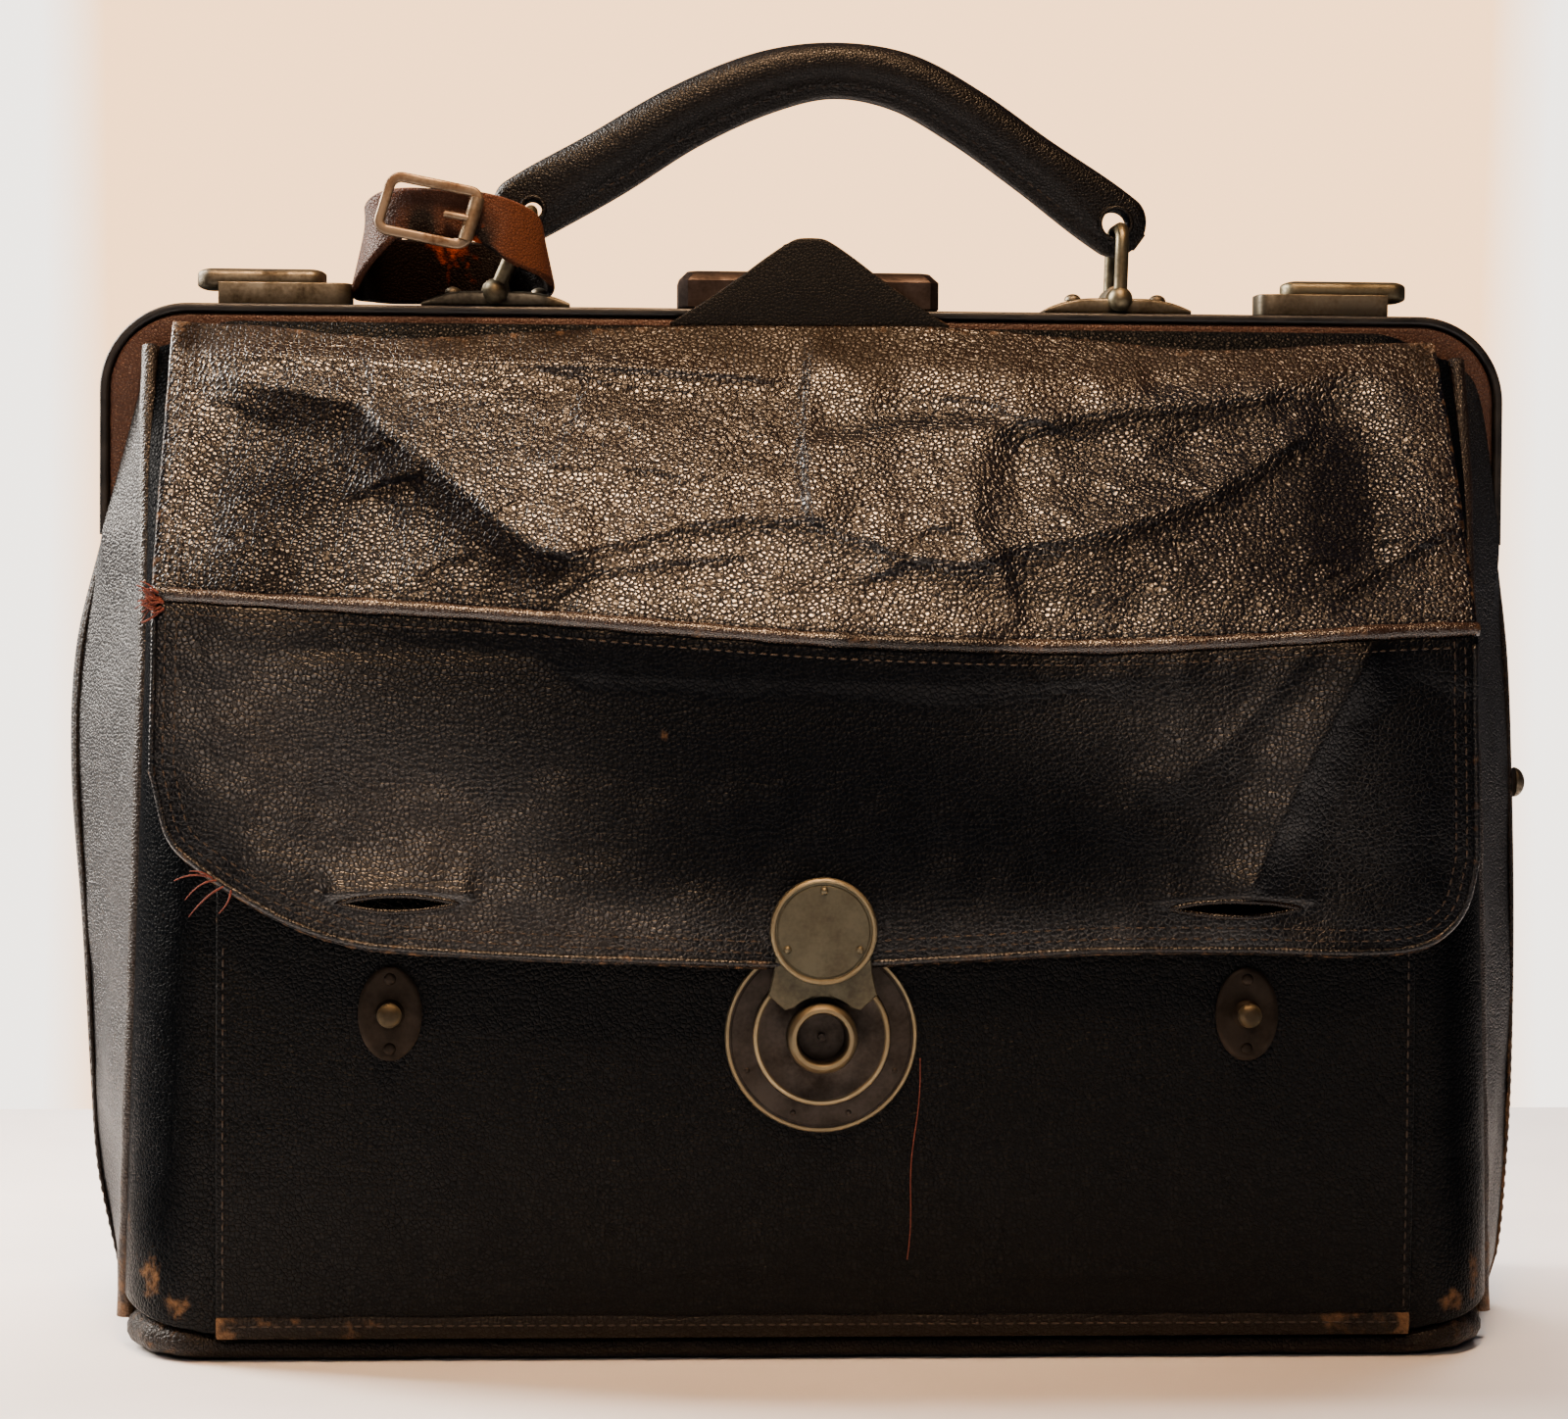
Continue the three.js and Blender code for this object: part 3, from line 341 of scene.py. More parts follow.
strip_hide = leather("worn_edge_leather", "worn_leather", "#070606", "#17100c", TAN, 1.2, 0.12, 0.4, 0.18)
frame_hide = leather(
    "red_brown_frame_calf", "frame_leather", "#35241d", "#573b30", "#7a523c", 0.9, 0.08, 0.4, 0.35
)
handle_hide = leather(
    "black_handle_leather", "handle_leather", "#060608", "#0f0c0b", TAN, 0.9, 0.055, 0.28, 0.27
)
strap_hide = leather(
    "maroon_strap_leather", "strap_leather", "#0f0705", "#54301f", "#a04010", 0.8, 0.1, 0.42, 0.2
)
tongue_hide = leather(
    "plum_tongue_leather", "strap_leather", "#40201f", "#643a28", "#a04a1c", 0.8, 0.07, 0.36, 0.35
)
leathers = len(bpy.data.materials)
print("leathers:", leathers)

# %% Metals
RUBBED_RIM = "#978a6c"


def metal(name, slot, clean, tarnish, gloss, metallic=1.0, spread=0.5):
    """Old plated metal. Clouds some 9 mm wide and spots of about 1 mm carry the tarnish, which
    is darker and duller; fine streaks, 0.4 mm wide and drawn out along the bag, are the polish.
    Rims with a wear tone are rubbed pale."""
    made, tree, place = finish_of(name, slot)
    clouds = noise(tree, place, 9, 5.0)[0]
    spots = noise(tree, place, 1.1, 3.0)[0]
    drawn_out = node(tree, "Mapping", {"Vector": place, "Scale": (0.12, 1.0, 1.0)})[0]
    streak = noise(tree, drawn_out, 0.4, 2.0)[0]
    dull = ramp(tree, times_plus(tree, spots, 0.35, clouds), 0.68 - 0.3 * spread, 0.9, 0, 1)
    plated = blend(tree, dull, hue(clean), hue(tarnish))
    colour = blend(tree, tone_of(tree, "wear"), plated, hue(RUBBED_RIM))
    rough = times_plus(tree, streak, 0.1, times_plus(tree, dull, 0.22, gloss))
    relief = times_plus(tree, spots, 1.6, streak)
    normal = node(tree, "Bump", {"Strength": 0.5, "Distance": 0.03 * MM, "Height": relief})[0]
    surface(tree, Base_Color=colour, Roughness=rough, Normal=normal, Metallic=metallic)
    return made


steel = metal("dark_lacquered_steel", "dark_steel", "#4a403c", "#231d1b", 0.4)
nickel = metal("tarnished_nickel_plate", "nickel", "#7c7464", "#3c362d", 0.34)
brass = metal("old_dull_brass", "brass", "#7e7660", "#413a2e", 0.36)
bronzed = metal("bronzed_brass_lock", "brass", "#3d3834", "#26221f", 0.4)
stud_metal = metal("blackened_brass_studs", "brass", "#2e2823", "#1a1714", 0.42)
hasp_metal = metal("dull_nickel_brass_hasp", "brass", "#5f5c4d", "#48453b", 0.44)
rusted = metal("rusted_nickel_buckle", "nickel", "#8c7a66", "#4e3626", 0.44, spread=0.2)
japan = metal("black_japanned_rail", "black_rail", "#0c0c0e", "#1d1a18", 0.3, 0.0)
print("metals:", len(bpy.data.materials) - leathers)

# %% Thread
def linen(name, slot, dark, light):
    """Waxed linen thread: two tones of noise at the width of a strand, 0.3 mm, and a dull
    surface. The eye gets small matt dashes along each seam."""
    made, tree, place = finish_of(name, slot)
    strand = noise(tree, place, 0.3, 2.0)[0]
    colour = blend(tree, strand, hue(dark), hue(light))
    normal = node(tree, "Bump", {"Strength": 0.6, "Distance": 0.08 * MM, "Height": strand})[0]
    surface(tree, Base_Color=colour, Normal=normal, Roughness=0.75)
    return made


dark_thread = linen("waxed_linen_thread", "welt_leather", "#0b0908", "#3a2d22")
red_thread = linen("frayed_red_thread", "worn_leather", "#3a120c", "#7a3422")
print("threads:", dark_thread.name, red_thread.name)

# %% [markdown]
# ## Leather walls
# A wall of the bag is one sheet of hide, 2 mm thick. It could be a plane with a Solidify
# modifier; here the flesh side and a half-round cut edge are worked out with the sheet, so the
# edge can carry its own wear.

# %% A sheet of hide with a rounded edge
def hide(grid, thick, wear, rub_and_painted_light, edge_wear=0.12):
    """The grid is the grain side. The flesh side is the grid moved back along its normals by
    the thickness, and a flattened half circle, as wide as the thickness, closes the rim."""
    along, across = np.gradient(grid, axis=0), np.gradient(grid, axis=1)
    normal = unit(np.cross(along, across))
    flesh = grid - thick * normal
    rows, columns = grid.shape[:2]
    number = np.arange(rows * columns).reshape(rows, columns)
    rim = np.concatenate([number[:-1, 0], number[-1, :-1], number[:0:-1, -1], number[0, :0:-1]])
    out = np.zeros_like(grid)
    out[0] -= unit(along[0])
    out[-1] += unit(along[-1])
    out[:, 0] -= unit(across[:, 0])
    out[:, -1] += unit(across[:, -1])
    flat = [a.reshape(-1, 3)[rim] for a in (0.5 * (grid + flesh), normal, unit(out))]
    turn = np.radians([40, 90, 140])[:, None, None]
    round_edge = flat[0] + 0.5 * thick * (flat[1] * np.cos(turn) + 0.7 * flat[2] * np.sin(turn))
    points = np.vstack([grid.reshape(-1, 3), flesh.reshape(-1, 3), round_edge.reshape(-1, 3)])
    count = rows * columns
    rings = np.vstack([rim, 2 * count + np.arange(3 * len(rim)).reshape(3, -1), count + rim])
    rings = np.hstack([rings, rings[:, :1]])
    faces = np.vstack([quads(number), count + quads(number), quads(rings)])
    grain = point(wear, rub_and_painted_light, np.zeros((rows, columns)))[..., :2].reshape(-1, 2)
    edge = np.tile(grain[rim] + [edge_wear, 0.3], (3, 1))
    return points, faces, np.vstack([grain, np.zeros_like(grain), edge])


def patches(x, z, rows):
    """Soft patches added up: rows of the middle, half width, half height and strength, each the
    strength times a hump across and a hump up."""
    return sum(
        strength * hump((x - x0) / wide) * hump((z - z0) / tall)
        for x0, z0, wide, tall, strength in rows
    )


def ripple(x, z, size, seed):
    """Gentle unevenness of hung leather: twelve plane waves, 12 to 60 mm long, with heights in
    proportion to their lengths, added up and scaled to the size."""
    dice = np.random.default_rng(seed)
    length = dice.uniform(12, 60, 12)
    way, phase = dice.uniform(0, np.pi, 12), dice.uniform(0, 6.28, 12)
    x, z = np.asarray(x)[..., None], np.asarray(z)[..., None]
    run = (x * np.cos(way) + z * np.sin(way)) * 2 * np.pi / length
    return size * (np.sin(run + phase) * length).sum(-1) / length.sum() * 2.5


def off_line(x, z, line):
    """Distance of each place from a line of points, the side it is on (positive above a line
    that runs left to right), and how far along the line its nearest point is, from 0 to 1."""
    line = np.array(line, float)
    start, step = line[:-1], np.diff(line, axis=0)
    span = np.linalg.norm(step, axis=1)
    rel = point(x, z)[..., None, :] - start
    share = np.clip((rel * step).sum(-1) / span**2, 0, 1)
    off = rel - share[..., None] * step
    gap = np.linalg.norm(off, axis=-1)
    side = step[:, 0] * off[..., 1] - step[:, 1] * off[..., 0]
    run = (np.concatenate([[0], np.cumsum(span)[:-1]]) + share * span) / span.sum()
    nearest = gap.argmin(-1)[..., None]
    return [np.take_along_axis(a, nearest, -1)[..., 0] for a in (gap, side, run)]


# %% [markdown]
# ## Front, back and ends
# The body is one tapering box: a flat face with rounded corners in front and behind, and ends
# that fold out to a centre ridge. The shape is a handful of curves by height, the same ones
# that the solid model uses, so the sheets land where the solids are.

# %% Body curves
WALL_Z = [6.8, 50, 110, 165, 196, 215, 240, 262, 277, 284.5]
face = curve(WALL_Z, [76, 78, 78, 75.5, 70, 62, 45.5, 29, 18.8, 14.8])
seam_x = curve(WALL_Z, [190.2, 189, 187, 185.6, 185.2, 185.4, 186.3, 187, 187.2, 187])
seam_y = curve(WALL_Z, [47, 49.5, 50, 48, 43.5, 39, 31, 22.5, 15.6, 13])
RIDGE_Z = [6.8, 18, 42, 68, 113, 157, 192, 223.4]
ridge = {
    -1: curve(RIDGE_Z, [195.5, 198.4, 203.8, 205.8, 208.3, 211.4, 210, 202.8]),
    1: curve(RIDGE_Z, [203.4, 206.8, 209, 210.2, 210.4, 209.2, 207.4, 203.6]),
}
FOOT, WALL_TOP, SEAM_TOP, CORNER = 6.8, 284.5, 277, 24
SIDES = ((-1, "left"), (1, "right"))
# Radius of the cords, gap between pieces, and thickness of the walls and of softer hide
WELT_RADIUS, GAP, WALL, SOFT = 2.4, 0.35, 2, 1.8
print("base, mm:", round(2 * float(seam_x(FOOT))), "x", round(2 * float(face(FOOT))))


def wall_point(s, z):
    """Front wall at a share s across: flat for six tenths of its half width, then a quarter
    ellipse back to the corded seam, stopped short by the thickness of the cord."""
    flat, drop = seam_x(z) - CORNER, face(z) - seam_y(z)
    short = WELT_RADIUS + GAP + 0.6
    stop = np.sqrt(2 * (np.hypot(drop * drop, CORNER * short) - drop * drop)) / CORNER
    turn = (np.pi / 2 - stop) * np.clip((np.abs(s) - 0.6) / 0.4, 0, 1)
    x = np.where(np.abs(s) <= 0.6, s / 0.6 * flat, np.sign(s) * (flat + CORNER * np.sin(turn)))
    return point(x, -seam_y(z) - drop * np.cos(turn), z)


# %% Front and back walls
# Bare patches at the lower corners: middle, half width, half height and strength
SCUFFS = [
    (-181, 22, 4, 5.5, 0.8), (-172.5, 15.5, 5.5, 3.4, 0.85), (-187.5, 36, 1.6, 9, 0.4),
    (183, 22, 3, 7, 0.75), (176, 15, 5, 3.4, 0.8), (188, 44, 1.4, 12, 0.5),
]
across, up = np.meshgrid(np.linspace(-1, 1, 141), np.linspace(0, 1, 90), indexing="ij")
wall_top = WALL_TOP - (WALL_TOP - SEAM_TOP) * smooth((np.abs(across) - 0.6) / 0.4)
wall_foot = FOOT + 2.5 * smooth((np.abs(across) - 0.52) / 0.13)
wall_foot = wall_foot + 5.5 * smooth((np.abs(across) - 0.62) / 0.38)
height = wall_foot + (wall_top - wall_foot) * up
for name, turn, seed in (("front_panel", 1, 3), ("back_panel", -1, 4)):
    wall = wall_point(across, height)
    wave = np.abs(ripple(wall[..., 0], height, 0.5 if turn > 0 else 1.6, seed))
    under_pocket = (turn > 0) * (np.abs(across) < 0.6)
    wall[..., 1] += wave * smooth(up / 0.08) * smooth((1 - up) / 0.08) * (1 - 0.8 * under_pocket)
    worn = patches(wall[..., 0], height, SCUFFS)
    foot_rub = np.exp(-((height - wall_foot) / 14))
    wall[..., :2] *= turn
    # The corners get a rub tone 0.8 lower: painted shade, darker and duller hide round the bend
    painted_corner_shade = smooth((np.abs(across) - 0.6) / 0.15)
    piece(name, hide(wall, WALL, worn, 0.6 * foot_rub - 0.8 * painted_corner_shade, 0.3), body_hide, name)

# %% [markdown]
# The ends are softer than the walls. Each folds out along a ridge, and above the ridge it splits
# and tucks in behind the leg of the frame. At the foot the sheet turns in under itself, as a
# sewn corner does, which closes the slit above the base.

# %% Ends with their turned-in foot
TUCK = {"share": 0.42, "z": 224.4, "x": 201.2, "y": 13.4, "top_z": 274, "top_share": 0.95}
TUCK_TOP_X = {-1: 188.8, 1: 196}
RIDGE_TOP, END_FOOT, BEND_FROM = 224.2, FOOT + 4, 180
TURN_IN, TURN_DOWN = 5, 3.2


def end_point(side, s, up):
    """Soft end; s goes from the front seam over the ridge to the back one. Low down it runs
    straight from ridge to seam. Higher up it bends round the leg of the frame, and above the ridge
    it starts from the edge of the tuck. The two forms are mixed by height."""
    size = np.abs(s)
    low = RIDGE_TOP + (TUCK["z"] - RIDGE_TOP) * size / TUCK["share"]
    high = TUCK["z"] + (TUCK["top_z"] - TUCK["z"]) * (size - TUCK["share"]) / (1 - TUCK["share"])
    z = END_FOOT + (np.where(size <= TUCK["share"], low, high) - END_FOOT) * up
    short = WELT_RADIUS + GAP + 0.2
    reach = np.hypot(seam_x(z) - ridge[side](z), seam_y(z))
    part = size * (1 - short / reach)
    x0, y0 = ridge[side](z) + (seam_x(z) - ridge[side](z)) * part, seam_y(z) * part
    climb = np.maximum(0, (z - TUCK["z"]) / (TUCK["top_z"] - TUCK["z"]))
    edge_x = TUCK["x"] + (TUCK_TOP_X[side] - TUCK["x"]) * climb
    start = TUCK["share"] + (TUCK["top_share"] - TUCK["share"]) * climb
    rest = np.hypot(seam_x(z) - edge_x, seam_y(z) - TUCK["y"])
    outer = np.clip((size - start) / (1 - start), 0, 1) * (1 - short / rest)
    inner = np.minimum(size / TUCK["share"], 1)
    x1 = ridge[side](z) + (edge_x - ridge[side](z)) * inner + (seam_x(z) - edge_x) * outer
    y1 = TUCK["y"] * inner + (seam_y(z) - TUCK["y"]) * outer
    mix = smooth((z - BEND_FROM) / (TUCK["z"] - BEND_FROM))
    x, y = x0 + (x1 - x0) * mix, y0 + (y1 - y0) * mix
    return point(side * x, side * np.sign(s) * y, z), part * reach


across, up = np.meshgrid(np.linspace(-1, 1, 97), np.linspace(0, 1, 90), indexing="ij")
for side, label in SIDES:
    end, from_ridge = end_point(side, across, up)
    soft = np.sin(np.pi * np.clip(from_ridge / 48, 0, 1)) * smooth(up / 0.1) * smooth((1 - up) / 0.25)
    end[..., 0] -= side * soft * (1.4 + ripple(end[..., 1], end[..., 2], 1.3, 8 + side))
    bend = np.radians([90, 60, 30])
    inward = point(-side, -0.25 * np.sign(end[:, 0, 1]), 0)
    turned_in = [
        end[:, 0] + TURN_IN * (1 - np.cos(b)) * inward - [0, 0, TURN_DOWN * np.sin(b)] for b in bend
    ]
    end = np.concatenate([np.stack(turned_in, 1), end], axis=1)
    low_wear = hump((end[..., 2] - 8) / 9)
    to_seam = end[..., 1] + seam_y(end[..., 2])
    front_worn = smooth((122 - end[..., 2]) / 60) * hump(to_seam / 9) if side > 0 else 0
    bare = 0.5 * low_wear + 0.55 * front_worn
    # On the right end the rub tone is 0.55 lower all over: painted shade that keeps that end dark and dull
    brown = 0.4 * low_wear + 0.3 * front_worn - (0.55 if side > 0 else 0)
    name = f"gusset_{label}"
    piece(name, hide(end, SOFT, bare, brown), end_hide, name)

# %% [markdown]
# ## Corded seams, ridge strips and base
# Every seam of the body is finished with a thin roll of calf over a cord. A curve with a bevel
# would do; a circle carried along the seam gives the same roll with rings we can thin or wear.

# %% A profile carried along a path
def circle(sides):
    """Unit circle."""
    turn = np.linspace(0, 2 * np.pi, sides, endpoint=False)
    return point(np.cos(turn), np.sin(turn))


def carry(path, section, side, loop=False):
    """Profile carried along a path. The first measure of the profile runs along the side
    direction, made square to the path, and the second across both."""
    path, side = np.asarray(path, float), np.asarray(side, float)
    forward = np.roll(path, -1, 0) - np.roll(path, 1, 0) if loop else np.gradient(path, axis=0)
    forward = unit(forward)
    one = unit(side - (side * forward).sum(-1, keepdims=True) * forward)
    two = np.cross(forward, one)
    section = np.broadcast_to(section, (len(path),) + np.shape(section)[-2:])
    grid = path[:, None] + section[..., :1] * one[:, None] + section[..., 1:] * two[:, None]
    return tube(grid, loop)


# %% Corded seams
z = np.linspace(FOOT + 0.6, SEAM_TOP, 150)
for depth, wall_label in ((-1, "front"), (1, "back")):
    for side, label in SIDES:
        line = point(side * seam_x(z), depth * seam_y(z), z)
        lump = WELT_RADIUS * (1 + 0.05 * np.sin(z / 3.1) + 0.04 * np.sin(z / 7.7 + side))
        roll = carry(line, lump[:, None, None] * circle(14), (1, 0, 0))
        low = np.exp(-((roll[0][:, 2] - FOOT) / 26))
        name = f"welt_{wall_label}_{label}"
        piece(name, toned(roll, 0.9 * low, 0.35 + 0.5 * low), welt_hide, name)

# %% [markdown]
# A dark strip is sewn over each ridge, and worn to tan at its foot.

# %% Strips over the ridges
def strip_point(side, t, z):
    """A 5 mm band either side of the ridge, on the line from the ridge to the seam, standing
    half a millimetre proud and rounded over the fold."""
    away = unit(point(seam_x(z) - ridge[side](z), seam_y(z)))
    out, along = 0.6 - 0.9 * hump(5 * t / 3), 5 * np.abs(t)
    x = ridge[side](z) + away[..., 0] * along + out * away[..., 1]
    y = (away[..., 1] * along - out * away[..., 0]) * np.sign(t)
    return point(side * x, side * y, z)


t, z = np.meshgrid(np.linspace(-1, 1, 24), np.linspace(FOOT + 1, RIDGE_TOP + 1.2, 140), indexing="ij")
for side, label in SIDES:
    strip = strip_point(side, t, z)
    worn = (0.5 * smooth((118 - z) / 40) if side > 0 else 0) + 0.6 * np.exp(-((z - FOOT) / 12))
    piece(f"ridge_strip_{label}", hide(strip, 1.1, worn, 0.3 + 0.5 * worn), strip_hide)

# %% [markdown]
# The base is a stiff board covered in leather, with a thicker roll round its edge. It is drawn
# in a little from the walls, so the bag seems to swell over it.

# %% Outlines in layers
def stack(outline, levels, place):
    """A flat outline drawn in by an inset at each level: rows of (inset, height), closed by a
    flat face below and above. The outline is a list of points, moved in along its normals, or
    a function of the inset. place puts (a, b, height) into space."""

    def drawn_in(inset):
        if callable(outline):
            return outline(inset)
        ahead = np.roll(outline, -1, 0) - np.roll(outline, 1, 0)
        return outline - inset * unit(point(ahead[:, 1], -ahead[:, 0]))

    rings = [point(*place(*drawn_in(inset).T, h)) for inset, h in levels]
    return tube(np.stack(rings))


def footprint(inset, drawn_in=5):
    """Edge of the base: straight in front, a quarter ellipse at the corner, then a straight
    run to the point under the ridge, mirrored front to back."""
    flat, drop = seam_x(FOOT) - CORNER, face(FOOT) - seam_y(FOOT)
    bend = np.linspace(0, np.pi / 2, 20)
    corner_x = flat + (CORNER - inset - drawn_in) * np.sin(bend)
    corner = point(corner_x, -seam_y(FOOT) - (drop - inset) * np.cos(bend))
    front = point(np.linspace(0, flat, 40)[:-1], inset - face(FOOT))

    def half(side):
        nose = np.array([ridge[side](FOOT) - inset - drawn_in, 0])
        run = corner[-1] + np.linspace(0, 1, 20)[1:, None] * (nose - corner[-1])
        quarter = np.vstack([front, corner, run]) * [side, 1]
        return np.vstack([quarter, quarter[-2::-1] * [1, -1]])

    return np.vstack([half(1), half(-1)[::-1][1:-1]])


# %% Base and its roll
board = stack(footprint(6.35), [(1.2, 0), (0.4, 0.3), (0, 1), (0, 3), (0.6, 4)], lambda a, b, h: (a, b, h))
piece("base_panel", toned(board, 0.2, 0.5), strip_hide, "base_panel", crease=40)
edge = footprint(3, 2.5)
line = point(*edge.T, 3.4)
line[:, 2] += 0.25 * np.sin(edge[:, 0] / 9) * np.abs(np.sin(edge[:, 0] / 23)) - 0.1
swollen = smooth((np.abs(edge[:, 0]) - 158) / 20) * smooth((-edge[:, 1] - 6) / 20)
line[:, 2] += 2.4 * swollen
lumpy = 1 + 0.12 * swollen * np.sin(edge[:, 0] / 2.3) * np.sin(edge[:, 1] / 3.1)
roll = carry(line, ((2.95 + 1.5 * swollen) * lumpy)[:, None, None] * circle(14), (0, 0, 1), loop=True)
corners = hump((np.abs(roll[0][:, 0]) - 178) / 16)
piece("base_welt", toned(roll, 0.4 * corners, 0.1 + 0.4 * corners), strip_hide, "base_welt")

# %% [markdown]
# ## Pocket
# A flat pocket is sewn to the front. Its side edges are raw, so they show as thin pale lines,
# and a worn strip binds its foot. Near the foot the leather has gathered into fine wrinkles.

# %% Pocket and binding
def crease(x, z, line, rise, gentle, steep, hollow=0, width=1):
    """One crease along a line: rise * exp(-d / gentle) above it; below it rise * exp(-d /
    steep), less a hollow that is deepest at its width. It dies out over an eighth of its length
    at both ends."""
    gap, side, run = off_line(x, z, line)
    fade = smooth(run / 0.13) * smooth((1 - run) / 0.13)
    below = rise * np.exp(-gap / steep) - hollow * gap / width * np.exp(1 - gap / width)
    return fade * np.where(side > 0, rise * np.exp(-gap / gentle), below)


POCKET_HALF, POCKET_FOOT, POCKET_TOP, POCKET_OUT = 162, 13, 186, 2.2
BINDING_FOOT, BINDING_SEAM, BINDING_TOP = 6.9, 10.2, 12.65
WRINKLES = [
    ([(-62, 27), (-40, 24), (-20, 26), (-5, 24)], 0.5, 4, 1.6),
    ([(-48, 33), (-25, 31), (2, 34)], 0.35, 4, 1.6),
    ([(-12, 37), (8, 33), (30, 34)], 0.4, 5, 1.6),
    ([(48, 27), (72, 22), (98, 24), (118, 20)], 0.5, 5, 1.6),
    ([(-80, 20), (-52, 18), (-30, 20)], 0.4, 4, 1.6),
    ([(90, 33), (108, 30), (126, 32)], 0.35, 4, 1.6),
]
x, z = np.meshgrid(
    np.linspace(-POCKET_HALF, POCKET_HALF, 190), np.linspace(POCKET_FOOT, POCKET_TOP, 120), indexing="ij"
)
rise = sum(crease(x, z, *row) for row in WRINKLES) + np.abs(ripple(x, z, 0.3, 21))
pocket = point(x, -face(z) - POCKET_OUT - rise, z)
belly = hump((z - 26) / 24)
pocket_skin = hide(pocket, 1.6, 0, 0.5 * belly, 0.25)
piece("pocket_panel", pocket_skin, body_hide, "pocket_panel")

x, z = np.meshgrid(
    np.linspace(-POCKET_HALF, POCKET_HALF, 190), np.linspace(BINDING_FOOT, BINDING_TOP, 8), indexing="ij"
)
bulge = 0.5 * np.sin(np.pi * (z - BINDING_FOOT) / (BINDING_TOP - BINDING_FOOT))
binding = point(x, -face(z) - POCKET_OUT - bulge, z)
bare = 0.8 * np.exp(-((POCKET_HALF - np.abs(x)) / 6))
bare += 0.3 * hump((x + 130) / 30) + 0.45 * hump((x - 142) / 12)
piece("pocket_binding", hide(binding, 1.6, bare, 0.3), strip_hide, "pocket_binding")

# %% [markdown]
# ## Front flap
# The flap is what the eye goes to. Above its raised seam the leather has slumped and set into
# plates that meet in creases; below, it hangs smoother and bellies over the two slots. A cloth
# simulation would fold it somewhere else, so the folds are drawn as lines read off the picture,
# each with a gentle upper side and a steep lower one.

# %% Flap curves and folds
FLAP_LEFT, FLAP_RIGHT = -180.5, 180
FLAP_X = [
    FLAP_LEFT, -176, -168, -154, -140, -126, -113, -75, -40,
    0, 40, 75, 115, 150, 164, 172, 177, FLAP_RIGHT,
]
flap_top = curve(FLAP_X, [
    284.3, 284, 283.6, 283, 281.5, 280.2, 279.9, 282.4, 284.4,
    284.8, 284.8, 282.1, 279, 281, 281.5, 281.8, 282, 282,
])
flap_bead = curve(FLAP_X, [
    207.3, 207, 206.5, 205.7, 204.9, 204.3, 203.7, 201.4, 198.8,
    196.1, 194.7, 194.5, 196.3, 198.7, 199.4, 199.7, 199.9, 200,
])
flap_bottom = curve(FLAP_X, [
    160, 143, 134.5, 125.5, 118.4, 114, 112.4, 110.3, 109.3,
    108, 110, 112, 112.2, 111.6, 113.2, 117.8, 125, 137,
])
standoff = curve([105, 160, 196, 240, 268, 285], [5.4, 5.3, 5.2, 5.2, 4.4, 2.8])

# Broad swells and dents: line ends, rise and width
SWELLS = [
    (-156, 252, -150, 247, -0.8, 11), (57, 252, 49, 226, -1.1, 6), (152, 262, 148, 222, -1.8, 11),
    (154, 268, 178, 262, 0.9, 10), (142, 190, 115, 128, 1.2, 12), (-146, 106, -44, 101, 6.2, 30),
    (60, 102, 136, 106, 3.6, 28), (-134, 183, 70, 172, -1.6, 17), (-22, 110, 22, 110, 1.6, 16),
    (8, 270, 80, 271, 1.8, 9), (-165, 216, -100, 213, 0.8, 10), (-166, 150, -150, 136, 1.2, 12),
]
